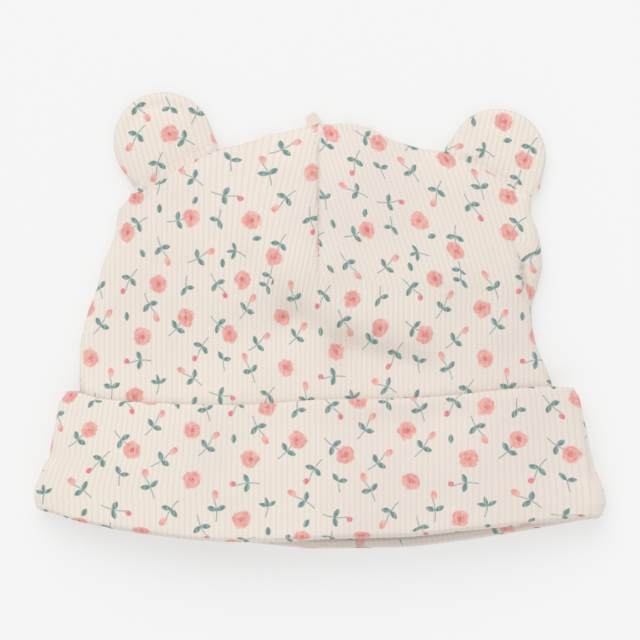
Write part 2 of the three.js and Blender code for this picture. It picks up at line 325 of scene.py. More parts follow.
class HatShape:
    """The rule that the hat's cloth follows: a flattened tube, folded at its sides and sewn at its top."""

    def side(self, side: int, reach: Array, layer: Layer) -> Array:
        """X of the left or right side.

        Args:
            side: -1 or 1.
            reach: 0 at the bottom fold, 1 at the hem, 2 at the crown seam.
            layer: the surface.
        Returns:
            X in mm.
        """
        name = "left" if side < 0 else "right"
        crown = CROWN_HALF_WIDTH * along(CROWN_SIDES, "up", name, reach - 1)
        foot = CROWN_HALF_WIDTH * CROWN_SIDES[name][0]
        cuff_side = foot + CUFF_FLARE * along(CUFF_SIDES, "reach", name, reach)
        if layer.on_cuff:
            return side * (cuff_side + layer.out)
        in_cuff = cuff_side + (foot - cuff_side) * smooth(reach)
        return side * (np.where(reach < 1, in_cuff, crown) + layer.out)

    def rise(self, face: Face, across: Array, reach: Array, layer: Layer) -> Array:
        """Y of a place.

        Args:
            face: the panel.
            across: share across it, from -1 to 1.
            reach: how far up the cloth.
            layer: the surface.
        Returns:
            Y in mm above the mouth.
        """
        fold = MOUTH_BOW * along(MOUTH, "across", face.value, across) + TURN_RADIUS
        hem = HEM_RISE * along(MOUTH, "across", "hem", across) - CLOTH / 2
        top = CORNER_RISE + DOME_RISE * along(CROWN_TOP, "across", "up", across) + layer.out
        return np.where(reach <= 1, fold + (hem - fold) * reach, hem + (top - hem) * (reach - 1))

    def swell(self, across: Array, reach: Array) -> Array:
        """How far the front stands above its side folds.

        Args:
            across: share across the panel.
            reach: how far up the cloth.
        Returns:
            The swell in mm.
        """
        inside = unit((2 - reach) / SEAM_EASE) * (1 - np.abs(across) ** HOLLOW_SQUARENESS)
        total = along(CROWN_LIFT, "reach", "loft", reach) * (1 - np.abs(across) ** SWELL_SQUARENESS)
        for row in FRONT_SWELLS:
            near = bell((across - row.across) / row.wide) * bell((reach - row.reach) / row.tall)
            total = total + row.lift * near * inside
        return LOFT * total

    def dart(self, x: Array, reach: Array) -> Array:
        """How far the seam down the middle of the crown draws the cloth in.

        Args:
            x: mm from the middle.
            reach: how far up the cloth.
        Returns:
            The draw in mm.
        """
        length = smooth((reach - DartSeam.foot) / DartSeam.fade) * unit((2 - reach) / SEAM_EASE)
        draw = DartSeam.depth * bell((x - DartSeam.across) / DartSeam.half_width)
        return (draw + DartSeam.line_depth * bell((x - DartSeam.across) / DartSeam.line_width)) * length

    def creased(self, x: Array, y: Array, lift: Array, from_side: Array) -> Array:
        """The front's swell with its soft creases and waves.

        Args:
            x: mm from the middle.
            y: mm above the mouth.
            lift: the smooth swell in mm.
            from_side: mm from the nearer side fold.
        Returns:
            The swell in mm.
        """
        chart_x, chart_y = chart_place(x, y)
        depth = np.zeros(np.shape(x))
        for crease in CREASES:
            start, end = np.array(crease.start, float), np.array(crease.end, float)
            run = end - start
            t = unit(((chart_x - start[0]) * run[0] + (chart_y - start[1]) * run[1]) / (run @ run))
            away = np.hypot(chart_x - start[0] - t * run[0], chart_y - start[1] - t * run[1])
            depth = depth + crease.depth * bell(away / crease.spread)
        first = np.sin(chart_x / FIRST_WAVE[0] + chart_y / FIRST_WAVE[1])
        second = np.sin(chart_y / SECOND_WAVE[1] - chart_x / SECOND_WAVE[0])
        held = WAVE_HEIGHT * (first * second) * unit(lift / WAVE_EASE)
        room = CREASE_SHARE * lift + INNER_FOLD * unit(from_side / FOLD_RADIUS - 1)
        return lift - np.minimum(depth, room) + held

    def place(self, columns: Columns, reach: Array, layer: Layer) -> Array:
        """Points of the cloth.

        Args:
            columns: the columns round the tube.
            reach: one reach for each ring, or one for each ring and column.
            layer: the surface.
        Returns:
            An array of rings by columns by three, in mm.
        """
        reach = np.atleast_2d(reach)
        if reach.shape[0] == 1 and reach.shape[1] != columns.count:
            reach = reach.T
        reach = np.broadcast_to(reach, (reach.shape[0], columns.count))
        radius = FOLD_RADIUS + layer.out
        low, high = self.side(-1, reach, layer), self.side(1, reach, layer)
        inset = radius * (1 - np.cos(columns.turn))
        x = low + radius + (high - low - 2 * radius) * columns.share
        x = np.where(columns.fold < 0, low + inset, np.where(columns.fold > 0, high - inset, x))
        across = (2 * x - low - high) / (high - low)
        seam_reach = np.full_like(reach, 2.0)
        sides = [self.rise(face, across, reach, layer) for face in Face]
        seams = [self.rise(face, across, seam_reach, layer) for face in Face]
        y = np.where(columns.front, sides[0], sides[1])
        seam = np.where(columns.front, seams[0], seams[1])
        from_side = np.minimum(x - low, high - x)
        rounding = radius * round_up(from_side / radius) * round_up((seam - y) / radius)
        middle = FOLD_RADIUS + (SLIP + CLOTH) * along(CROWN_LIFT, "reach", "under", reach)
        dart = np.minimum(self.dart(x, reach), rounding)
        swell = self.creased(x, y, self.swell(across, reach), from_side)
        front_z = middle + rounding + swell * np.sign(rounding) - dart
        z = np.where(columns.front, front_z, middle - rounding + dart)
        return np.stack([x, y, z], axis=-1)

    def seam_rise(self, x: Array) -> Array:
        """Y of the crown seam at an X.

        Args:
            x: mm from the middle.
        Returns:
            Y in mm.
        """
        top = np.full(1, 2.0)
        low, high = self.side(-1, top, CROWN_OUT)[0], self.side(1, top, CROWN_OUT)[0]
        across = (2 * np.asarray(x, float) - low - high) / (high - low)
        return self.rise(Face.FRONT, across, np.full(across.shape, 2.0), CROWN_OUT)


@dataclass(frozen=True)
class DartSeam:
    """The seam that takes in the crown's middle, front and back."""

    depth: float = 0.9
    half_width: float = 2.2
    foot: float = 1.34
    fade: float = 0.25
    across: float = -0.3
    line_depth: float = 0.9
    line_width: float = 0.42


@dataclass(frozen=True)
class Placing:
    """Where the hat's own millimetres lie in the frame."""

    shift: tuple[float, float]

    def metres(self, points: Array) -> Array:
        """The points in the frame, in metres.

        Args:
            points: points in the hat's millimetres.
        Returns:
            Points in the frame.
        """
        return (points + np.array([*self.shift, 0.0])) * METRE


@dataclass(frozen=True)
class Motif:
    """One motif of the print: what it is, the middle of its flower or leaf, and which way that points."""

    bloom: Bloom
    u: float
    v: float
    ahead: tuple[float, float] = (0.0, -1.0)
    way: float = 1.0


def sprig(bloom: Bloom, node: tuple[float, float], flower: tuple[float, float]) -> Motif:
    """A sprig from where its leaves meet the stem to its flower.

    Args:
        bloom: what it carries.
        node: chart place of its leaves.
        flower: chart place of its flower.
    Returns:
        The motif.
    """
    run = np.subtract(flower, node)
    ahead = run / np.hypot(*run)
    return Motif(bloom, flower[0], flower[1], (float(ahead[0]), float(ahead[1])))


def bare(
    node: tuple[float, float], tail: tuple[float, float], way: float = 1.0, bloom: Bloom = Bloom.BARE_SPRIG
) -> Motif:
    """A sprig without a flower.

    Args:
        node: chart place of its leaves.
        tail: chart place of its stem's end.
        way: 1 or -1, the side that its lower leaf is on.
        bloom: whether it has two leaves or three.
    Returns:
        The motif.
    """
    run = np.subtract(node, tail)
    ahead = run / np.hypot(*run)
    end = np.array(node) + ahead * FloralPrint.stem
    return Motif(bloom, float(end[0]), float(end[1]), (float(ahead[0]), float(ahead[1])), way)


ROSES = ((251, 458), (268, 406), (407, 430), (411, 480), (243, 518), (362, 539), (359, 399))
# Each sprig runs from the place of its leaves to the place of its flower.
SPRIGS = {
    Bloom.ROSE_SPRIG: (
        ((287, 451), (298, 439)),
        ((332, 444), (346, 454)),
        ((394, 357), (390, 372)),
        ((285, 343), (303, 339)),
        ((464, 344), (451, 354)),
    ),
    Bloom.CORAL_SPRIG: (
        ((257, 424), (266, 439)),
        ((364, 431), (373, 416)),
        ((379, 461), (389, 452)),
        ((372, 491), (364, 476)),
        ((303, 498), (293, 492)),
        ((393, 507), (383, 523)),
        ((421, 450), (432, 435)),
        ((435, 506), (434, 494)),
        ((272, 371), (278, 383)),
        ((309, 381), (324, 373)),
        ((421, 410), (414, 396)),
    ),
    Bloom.PINK_SPRIG: (
        ((248, 482), (234, 483)),
        ((330, 403), (341, 416)),
        ((316, 466), (307, 480)),
        ((335, 516), (350, 518)),
        ((420, 526), (426, 540)),
        ((455, 400), (447, 413)),
    ),
}
# Each bare sprig runs from the place of its leaves to the end of its stem.
LEAFY_SPRIGS = (
    ((298, 409), (297, 397)),
    ((339, 480), (339, 498), -1),
    ((269, 505), (268, 514), 1, Bloom.THREE_LEAVES),
    ((350, 371), (357, 373), 1, Bloom.THREE_LEAVES),
    ((389, 391), (391, 381), -1),
    ((387, 401), (389, 391), -1),
    ((331, 341), (333, 334), -1),
)
LONE_LEAVES = (
    (307, 522, (0.5, -0.87)),
    (269, 530),
    (451, 438),
    (337, 384),
    (251, 375, (0.5, 0.87)),
    (370, 356, (0.97, -0.26)),
)


@dataclass(frozen=True)
class FloralPrint:
    """The small rose print, charted once over its repeat, with the sizes that part its motifs."""

    stem = 15.5
    tail = 27.0
    repeat = (217.0, 200.0)
    corner = (243.0, 339.0)
    reach = 34.0
    half_sizes = {Bloom.CORAL_SPRIG: 4.5, Bloom.PINK_SPRIG: 3.5, Bloom.LEAF: 5.0}
    rose_half = 10.5
    no_flower = -6.0
    half_stem = 1.0
    half_leaves = 9.5
    far_off = 1e3
    faces_at_once = 20000

    def chart(self) -> list[Motif]:
        """The motifs of one repeat.

        Returns:
            The motifs.
        """
        motifs = [Motif(Bloom.ROSE, *place) for place in ROSES]
        motifs += [sprig(kind, *ends) for kind, rows in SPRIGS.items() for ends in rows]
        motifs += [bare(*row) for row in LEAFY_SPRIGS]
        return motifs + [Motif(Bloom.LEAF, *row) for row in LONE_LEAVES]

    def spread(self) -> Array:
        """The motifs of one repeat and those that reach into it from the repeats around.

        Returns:
            Rows of bloom, u, v, ahead u, ahead v, way.
        """
        rows = []
        for motif in self.chart():
            for across in (-1, 0, 1):
                for down in (-1, 0, 1):
                    u = motif.u + across * self.repeat[0]
                    v = motif.v + down * self.repeat[1]
                    if (
                        -self.reach < u - self.corner[0] < self.repeat[0] + self.reach
                        and -self.reach < v - self.corner[1] < self.repeat[1] + self.reach
                    ):
                        rows.append((motif.bloom, u, v, *motif.ahead, motif.way))
        return np.array(rows, float)

    def lay(self, corners: Array) -> tuple[Array, Array]:
        """Gives each face the motif nearest to it.

        Args:
            corners: faces by corners by two, in chart units.
        Returns:
            Each corner's place beside the motif's middle, and each face's bloom.
        """
        motifs = self.spread()
        middle = corners.mean(axis=1)
        offset = np.floor((middle - self.corner) / self.repeat) * self.repeat
        place = middle - offset
        bloom, at, ahead = motifs[:, 0], motifs[:, 1:3], motifs[:, 3:5]
        kinds = [bloom == kind for kind in self.half_sizes]
        flower = np.select(kinds, list(self.half_sizes.values()), self.rose_half)
        leafy = (bloom == Bloom.BARE_SPRIG) | (bloom == Bloom.THREE_LEAVES)
        flower = np.where(leafy, self.no_flower, flower)
        sprigged = leafy | ((bloom >= Bloom.ROSE_SPRIG) & (bloom <= Bloom.PINK_SPRIG))
        nearest = np.empty(len(place), int)
        for begin in range(0, len(place), self.faces_at_once):
            part = slice(begin, begin + self.faces_at_once)
            run = place[part, None, :] - at[None]
            away = np.hypot(run[..., 0], run[..., 1]) - flower
            back = np.clip(-(run * ahead).sum(-1), 0, self.tail)
            stem = np.hypot(*(run + ahead * back[..., None]).transpose(2, 0, 1)) - self.half_stem
            node = np.hypot(*(run + ahead * self.stem).transpose(2, 0, 1)) - self.half_leaves
            grown = np.where(sprigged, np.minimum(stem, node), self.far_off)
            nearest[part] = np.argmin(np.minimum(away, grown), axis=1)
        run = corners - offset[:, None, :] - at[nearest][:, None, :]
        heading = ahead[nearest][:, None, :]
        side = np.stack([heading[..., 1], -heading[..., 0]], axis=-1)
        way = motifs[nearest, 5][:, None]
        local = np.stack([(run * side).sum(-1) * way, (run * heading).sum(-1)], axis=-1)
        return local, bloom[nearest]


@dataclass
class ClothPatch:
    """The mesh of a sewn part while it is built: points, faces, and where each corner lies on the cloth."""

    name: str
    points: Array
    faces: Array
    cloth: Array
    relief: Array

    def facing_out(self) -> "ClothPatch":
        """Turns the faces outwards if they face in.

        Returns:
            The patch.
        """
        a, b, c, d = (self.points[self.faces[:, n]] for n in range(4))
        volume = np.einsum("ij,ij->", a, np.cross(b, c)) + np.einsum("ij,ij->", a, np.cross(c, d))
        if volume < 0:
            self.faces = self.faces[:, ::-1]
            self.cloth = self.cloth[:, ::-1]
        return self

    def mesh(self, placing: Placing, floral: FloralPrint | None) -> Piece:
        """Makes the object with its UV maps and attributes.

        Args:
            placing: where the hat lies in the frame.
            floral: the print, where the part has one.
        Returns:
            The object.
        """
        self.facing_out()
        mesh = bpy.data.meshes.new(self.name)
        count = len(self.faces)
        kept = self.faces != np.roll(self.faces, -1, axis=1)
        sizes = kept.sum(axis=1)
        starts = np.concatenate([[0], np.cumsum(sizes)[:-1]])
        mesh.vertices.add(len(self.points))
        mesh.vertices.foreach_set("co", placing.metres(self.points).astype(np.float32).ravel())
        mesh.loops.add(int(sizes.sum()))
        mesh.loops.foreach_set("vertex_index", self.faces[kept].astype(np.int32))
        mesh.polygons.add(count)
        mesh.polygons.foreach_set("loop_start", starts.astype(np.int32))
        mesh.polygons.foreach_set("use_smooth", np.ones(count, bool))
        mesh.update(calc_edges=True)
        knit = mesh.uv_layers.new(name="knit")
        knit.data.foreach_set("uv", (self.cloth[kept] / MAP_UNIT).astype(np.float32).ravel())
        if floral is not None:
            local, bloom = floral.lay(self.cloth)
            laid = mesh.uv_layers.new(name="print")
            laid.data.foreach_set("uv", (local[kept] / MAP_UNIT).astype(np.float32).ravel())
            kinds = mesh.uv_layers.new(name="bloom")
            codes = np.repeat(np.stack([bloom, np.zeros(count)], axis=-1)[:, None, :], 4, axis=1)
            kinds.data.foreach_set("uv", codes[kept].astype(np.float32).ravel())
        wale = np.zeros(len(self.points), np.float32)
        wale[self.faces.ravel()] = self.cloth[..., 0].ravel() / RibKnit.pitch
        mesh.attributes.new("wale", "FLOAT", "POINT").data.foreach_set("value", wale)
        mesh.attributes.new("relief", "FLOAT", "POINT").data.foreach_set(
            "value", self.relief.astype(np.float32)
        )
        mesh.validate()
        made = bpy.data.objects.new(self.name, mesh)
        bpy.context.scene.collection.objects.link(made)
        LOG.info("%s: %d faces", self.name, count)
        return made


class NodeDesk:
    """Short ways to put nodes into a tree."""

    mix_slots = ("Factor_Float", "A_Color", "B_Color")
    mixed_slot = "Result_Color"

    def __init__(self, tree: bpy.types.NodeTree) -> None:
        """Opens a tree.

        Args:
            tree: the tree.
        """
        self.tree = tree

    @classmethod
    def of(cls, material: bpy.types.Material) -> "NodeDesk":
        """Opens a material's tree, emptied.

        Args:
            material: the material.
        Returns:
            The desk.
        """
        material.use_nodes = True
        material.node_tree.nodes.clear()
        return cls(material.node_tree)

    def add(self, kind: str, **settings: object) -> bpy.types.Node:
        """Adds a node.

        Args:
            kind: its type.
            settings: its properties.
        Returns:
            The node.
        """
        node = self.tree.nodes.new(kind)
        for name, value in settings.items():
            setattr(node, name, value)
        return node

    def put(self, slot: Socket, value: object) -> None:
        """Links a socket or sets its value.

        Args:
            slot: the input.
            value: a socket, number or colour.
        """
        if isinstance(value, Socket):
            self.tree.links.new(value, slot)
        else:
            slot.default_value = value

    def maths(self, operation: str, *values: object) -> Socket:
        """A math node.

        Args:
            operation: what it does.
            values: sockets or numbers.
        Returns:
            Its output.
        """
        node = self.add("ShaderNodeMath", operation=operation)
        for slot, value in zip(node.inputs, values):
            self.put(slot, value)
        return node.outputs[0]

    plus = partialmethod(maths, "ADD")
    minus = partialmethod(maths, "SUBTRACT")
    times = partialmethod(maths, "MULTIPLY")
    over = partialmethod(maths, "DIVIDE")
    power = partialmethod(maths, "POWER")
    root = partialmethod(maths, "SQRT")
    size = partialmethod(maths, "ABSOLUTE")
    sine = partialmethod(maths, "SINE")
    cosine = partialmethod(maths, "COSINE")
    angle = partialmethod(maths, "ARCTAN2")
    larger = partialmethod(maths, "MAXIMUM")
    above = partialmethod(maths, "GREATER_THAN")
    below = partialmethod(maths, "LESS_THAN")
    same = partialmethod(maths, "COMPARE")

    def fade(self, value: object, start: float, end: float) -> Socket:
        """Eases to 1 where a value passes from start to end.

        Args:
            value: the value.
            start: where the result is 0.
            end: where it is 1.
        Returns:
            The result.
        """
        node = self.add("ShaderNodeMapRange", interpolation_type="SMOOTHSTEP")
        self.put(node.inputs["Value"], value)
        node.inputs["From Min"].default_value = min(start, end)
        node.inputs["From Max"].default_value = max(start, end)
        node.inputs["To Min"].default_value = 0.0 if start < end else 1.0
        node.inputs["To Max"].default_value = 1.0 if start < end else 0.0
        return node.outputs["Result"]

    def mix(self, share: object, under: object, over: object) -> Socket:
        """Mixes two colours.

        Args:
            share: how much of the second.
            under: the first colour.
            over: the second colour.
        Returns:
            The mixed colour.
        """
        node = self.add("ShaderNodeMix", data_type="RGBA")
        factor, first, second = (slot for slot in node.inputs if slot.identifier in self.mix_slots)
        self.put(factor, share)
        self.put(first, under)
        self.put(second, over)
        return next(slot for slot in node.outputs if slot.identifier == self.mixed_slot)

    def tint(self, cloth: object, mask: object, strength: float, colour: object) -> Socket:
        """Lays a colour over another where a mask is 1.

        Args:
            cloth: the colour below.
            mask: from 0 to 1.
            strength: how much of the colour the mask lets through.
            colour: the colour above.
        Returns:
            The tinted colour.
        """
        return self.mix(self.times(mask, strength), cloth, colour)

    def noise(self, vector: Socket, grain: "Grain") -> Socket:
        """Soft noise from 0 to 1.

        Args:
            vector: coordinates.
            grain: how fine it is.
        Returns:
            The noise.
        """
        node = self.add("ShaderNodeTexNoise")
        self.put(node.inputs["Vector"], vector)
        node.inputs["Scale"].default_value = grain.cells
        node.inputs["Detail"].default_value = grain.layers
        return node.outputs["Fac"]

    def map_of(self, name: str) -> tuple[Socket, Socket]:
        """The two coordinates of a UV map.

        Args:
            name: the map.
        Returns:
            Its two coordinates.
        """
        node = self.add("ShaderNodeUVMap", uv_map=name)
        split = self.add("ShaderNodeSeparateXYZ")
        self.put(split.inputs[0], node.outputs[0])
        return split.outputs[0], split.outputs[1]


class RibRelief:
    """Raises the wales of the rib knit out of a piece's cloth with Geometry Nodes."""

    roundness = 0.8
    middle = 0.6

    def __init__(self) -> None:
        """Builds the tree."""
        self.tree = bpy.data.node_groups.new("rib_relief", "GeometryNodeTree")
        kinds = {"Geometry": "Geometry", "Height": "Float", "Roundness": "Float", "Material": "Material"}
        self.keys = {}
        for name, kind in kinds.items():
            slot = self.tree.interface.new_socket(name, in_out="INPUT", socket_type="NodeSocket" + kind)
            self.keys[name] = slot.identifier
        self.tree.interface.new_socket("Geometry", in_out="OUTPUT", socket_type="NodeSocketGeometry")
        desk = NodeDesk(self.tree)
        given = desk.add("NodeGroupInput").outputs
        swing = desk.size(desk.cosine(desk.times(self.attribute(desk, "wale"), math.pi)))
        profile = desk.minus(desk.power(swing, given["Roundness"]), self.middle)
        lift = desk.times(desk.times(profile, given["Height"]), self.attribute(desk, "relief"))
        scale = desk.add("ShaderNodeVectorMath", operation="SCALE")
        desk.put(scale.inputs[0], desk.add("GeometryNodeInputNormal").outputs[0])
        desk.put(scale.inputs["Scale"], lift)
        move = desk.add("GeometryNodeSetPosition")
        desk.put(move.inputs["Geometry"], given["Geometry"])
        desk.put(move.inputs["Offset"], scale.outputs[0])
        realize = desk.add("GeometryNodeRealizeInstances")
        desk.put(realize.inputs[0], move.outputs[0])
        finish = desk.add("GeometryNodeSetMaterial")
        desk.put(finish.inputs["Geometry"], realize.outputs[0])
        desk.put(finish.inputs["Material"], given["Material"])
        desk.put(desk.add("NodeGroupOutput").inputs[0], finish.outputs[0])

    @staticmethod
    def attribute(desk: NodeDesk, name: str) -> Socket:
        """Reads a number that each point of the cloth carries.

        Args:
            desk: the tree's nodes.
            name: its name.
        Returns:
            The number.
        """
        node = desk.add("GeometryNodeInputNamedAttribute", data_type="FLOAT")
        node.inputs["Name"].default_value = name
        return node.outputs["Attribute"]

    def knit(self, piece: Piece, finish: bpy.types.Material, height: float) -> None:
        """Gives a piece its wales and its finish, as a plain mesh.

        Args:
            piece: the object.
            finish: its material.
            height: the wales' height in mm.
        """
        modifier = piece.modifiers.new("ribs", "NODES")
        modifier.node_group = self.tree
        modifier[self.keys["Height"]] = height * METRE
        modifier[self.keys["Roundness"]] = self.roundness
        modifier[self.keys["Material"]] = finish
        depsgraph = bpy.context.evaluated_depsgraph_get()
        plain = bpy.data.meshes.new_from_object(
            piece.evaluated_get(depsgraph), preserve_all_data_layers=True, depsgraph=depsgraph
        )
        piece.modifiers.remove(modifier)
        old = piece.data
        piece.data = plain
        bpy.data.meshes.remove(old)
        plain.name = piece.name


@dataclass(frozen=True)
class Grain:
    """How fine a noise is: its cells in a metre, and its layers of finer noise."""

    cells: float
    layers: float


def linear(red: int, green: int, blue: int) -> tuple[float, float, float, float]:
    """A screen colour as a linear one.

    Args:
        red: 0 to 255.
        green: 0 to 255.
        blue: 0 to 255.
    Returns:
        The linear colour with alpha 1.
    """
    shares = [channel / 255 for channel in (red, green, blue)]
    values = [c / 12.92 if c <= 0.04045 else ((c + 0.055) / 1.055) ** 2.4 for c in shares]
    return (*values, 1.0)


@dataclass(frozen=True)
class Inks:
    """The colours of the print."""

    rose: tuple = linear(231, 156, 148)
    rose_pale: tuple = linear(239, 182, 170)
    rose_deep: tuple = linear(208, 98, 104)
    coral: tuple = linear(237, 180, 166)
    coral_deep: tuple = linear(228, 140, 138)
    pink: tuple = linear(224, 112, 126)
    leaf: tuple = linear(84, 131, 130)
    leaf_pale: tuple = linear(126, 164, 158)
    stem: tuple = linear(118, 156, 152)


@dataclass(frozen=True)
class Leaf:
    """A leaf of the print: degrees from its stem, half its length and half its width in chart units."""

    angle: float
    half_long: float
    half_wide: float


@dataclass(frozen=True)
class Petals:
    """An oval flower of the print: half its sizes in chart units, how ragged it is, and its soft edge."""

    half_side: float
    half_ahead: float
    ragged: float
    edge: tuple[float, float]


FLOWERING = (Bloom.ROSE_SPRIG, Bloom.CORAL_SPRIG, Bloom.PINK_SPRIG)
SPRIG_LEAVES = (
    (FLOWERING, (Leaf(-68, 4.9, 2.7), Leaf(68, 4.9, 2.7))),
    ((Bloom.BARE_SPRIG,), (Leaf(-36, 4.9, 2.6), Leaf(84, 4.6, 2.5))),
    ((Bloom.THREE_LEAVES,), (Leaf(-50, 4.6, 2.1), Leaf(24, 4.9, 1.9), Leaf(82, 4.8, 2.1))),
)
LONE_LEAF = Leaf(0, 4.7, 2.7)


@dataclass(frozen=True)
class Brushwork:
    """How the print is painted: its noises, its soft edges from start to end, and its strengths."""

    wash: Grain = Grain(420.0, 3.0)
    ragged: Grain = Grain(780.0, 1.0)
    lobes: Grain = Grain(380.0, 1.0)
    specks: Grain = Grain(1500.0, 2.0)
    stem_bend: float = 0.012
    stem_top: float = -2.0
    bare_shorter: float = 13.0
    stem_edge: tuple[float, float] = (1.0, 0.25)
    stem_ink: float = 0.72
    leaf_point: float = 0.75
    leaf_ragged: float = 0.9
    leaf_edge: tuple[float, float] = (-0.5, 0.8)
    leaf_halves: tuple[float, float] = (-0.9, 0.9)
    leaf_wash: tuple[float, float] = (0.2, 0.8)
    full_ink: float = 0.9
    bud_ink: float = 0.88
    coral: Petals = Petals(3.3, 4.8, 0.5, (1.15, 0.75))
    coral_tone: tuple[float, float] = (-3.0, 4.0)
    pink: Petals = Petals(2.9, 3.3, 0.4, (1.15, 0.7))
    rose: Petals = Petals(9.6, 9.2, 0.4, (1.07, 0.8))
    rose_lobes: float = 0.55
    rose_wash: tuple[float, float] = (0.38, 0.66)
    petal_rings: float = 15.0
    petal_turns: float = 2.0
    petal_wander: float = 12.0
    fold_edge: tuple[float, float] = (0.1, 0.95)
    fold_ink: float = 0.3
    speck_edge: tuple[float, float] = (0.5, 0.68)
    speck_within: tuple[float, float] = (0.85, 0.3)
    speck_ink: float = 0.45
    heart_within: tuple[float, float] = (0.42, 0.05)


class PrintBrush:
    """Paints the motif that each face carries, from the face's place beside the motif's middle."""

    kind_slack = 0.4
    noise_middle = 0.5

    def __init__(self, desk: NodeDesk, inks: Inks, place: Socket) -> None:
        """Reads the maps and lays the noises.

        Args:
            desk: the material's nodes.
            inks: the colours of the print.
            place: coordinates on the piece.
        """
        self.desk = desk
        self.inks = inks
        self.place = place
        self.work = Brushwork()
        self.side, self.ahead = (desk.times(share, MAP_UNIT) for share in desk.map_of("print"))
        self.bloom, _ = desk.map_of("bloom")
        self.wash = desk.noise(place, self.work.wash)
        self.ragged = desk.minus(desk.noise(place, self.work.ragged), self.noise_middle)
        self.lobes = desk.minus(desk.noise(place, self.work.lobes), self.noise_middle)

    def paint(self, cloth: Socket) -> Socket:
        """Paints the print over the bare cloth.

        Args:
            cloth: the colour under the print.
        Returns:
            The colour with the print.
        """
        for layer in (self.stems, self.leaves, self.buds, self.roses):
            cloth = layer(cloth)
        return cloth

    def carries(self, *kinds: Bloom) -> Socket:
        """1 where a face carries one of some motifs, else 0.

        Args:
            kinds: the motifs.
        Returns:
            The mask.
        """
        masks = [self.desk.same(self.bloom, float(kind), self.kind_slack) for kind in kinds]
        return reduce(self.desk.larger, masks)

    def stems(self, cloth: Socket) -> Socket:
        """Paints the stems.

        Args:
            cloth: the colour below.
        Returns:
            The colour with them.
        """
        desk, work = self.desk, self.work
        bend = desk.plus(self.ahead, FloralPrint.stem)
        curve = desk.times(desk.times(bend, bend), work.stem_bend)
        off_stem = desk.size(desk.minus(self.side, curve))
        bare_sprig = self.carries(Bloom.BARE_SPRIG, Bloom.THREE_LEAVES)
        top = desk.minus(work.stem_top, desk.times(bare_sprig, work.bare_shorter))
        along_stem = desk.times(desk.above(self.ahead, -FloralPrint.tail), desk.below(self.ahead, top))
        on_stem = desk.times(desk.fade(off_stem, *work.stem_edge), along_stem)
        on_stem = desk.times(on_stem, desk.larger(bare_sprig, self.carries(*FLOWERING)))
        return desk.tint(cloth, on_stem, work.stem_ink, self.inks.stem)

    def leaf(self, cloth: Socket, leaf: Leaf, middle: tuple[float, float], carried: Socket) -> Socket:
        """Paints one leaf, paler on one half.

        Args:
            cloth: the colour below.
            leaf: its shape.
            middle: its middle beside and ahead of the motif's.
            carried: the mask of the faces that have it.
        Returns:
            The colour with it.
        """
        desk, work = self.desk, self.work
        sin, cos = math.sin(math.radians(leaf.angle)), math.cos(math.radians(leaf.angle))
        x, y = desk.minus(self.side, middle[0]), desk.minus(self.ahead, middle[1])
        long = desk.plus(desk.times(x, sin), desk.times(y, cos))
        wide = desk.minus(desk.times(x, cos), desk.times(y, sin))
        share = desk.over(long, leaf.half_long)
        left = desk.larger(desk.minus(1.0, desk.times(share, share)), 0.0)
        limit = desk.times(desk.power(left, work.leaf_point), leaf.half_wide)
        limit = desk.minus(limit, desk.above(desk.size(share), 1.0))
        depth = desk.plus(desk.minus(limit, desk.size(wide)), desk.times(self.ragged, work.leaf_ragged))
        pale = desk.times(desk.fade(wide, *work.leaf_halves), desk.fade(self.wash, *work.leaf_wash))
        ink = desk.mix(pale, self.inks.leaf, self.inks.leaf_pale)
        return desk.tint(cloth, desk.times(desk.fade(depth, *work.leaf_edge), carried), work.full_ink, ink)

    def leaves(self, cloth: Socket) -> Socket:
        """Paints the leaves, which grow where they meet the stem.

        Args:
            cloth: the colour below.
        Returns:
            The colour with them.
        """
        for kinds, leaves in SPRIG_LEAVES:
            carried = self.carries(*kinds)
            for leaf in leaves:
                turn = math.radians(leaf.angle)
                ahead = math.cos(turn) * leaf.half_long - FloralPrint.stem
                cloth = self.leaf(cloth, leaf, (math.sin(turn) * leaf.half_long, ahead), carried)
        return self.leaf(cloth, LONE_LEAF, (0.0, 0.0), self.carries(Bloom.LEAF))

    def oval(self, petals: Petals) -> Socket:
        """Ragged distance from the motif's middle, 1 at the flower's edge.

        Args:
            petals: the flower.
        Returns:
            The distance.
        """
        desk = self.desk
        x, y = desk.over(self.side, petals.half_side), desk.over(self.ahead, petals.half_ahead)
        away = desk.root(desk.plus(desk.times(x, x), desk.times(y, y)))
        return desk.plus(away, desk.times(self.ragged, petals.ragged))

    def buds(self, cloth: Socket) -> Socket:
        """Paints the coral and the pink buds.

        Args:
            cloth: the colour below.
        Returns:
            The colour with them.
        """
        desk, work, inks = self.desk, self.work, self.inks
        coral = desk.mix(desk.fade(self.ahead, *work.coral_tone), inks.coral, inks.coral_deep)
        kinds = ((Bloom.CORAL_SPRIG, work.coral, coral), (Bloom.PINK_SPRIG, work.pink, inks.pink))
        for kind, petals, ink in kinds:
            bud = desk.times(desk.fade(self.oval(petals), *petals.edge), self.carries(kind))
            cloth = desk.tint(cloth, bud, work.bud_ink, ink)
        return cloth

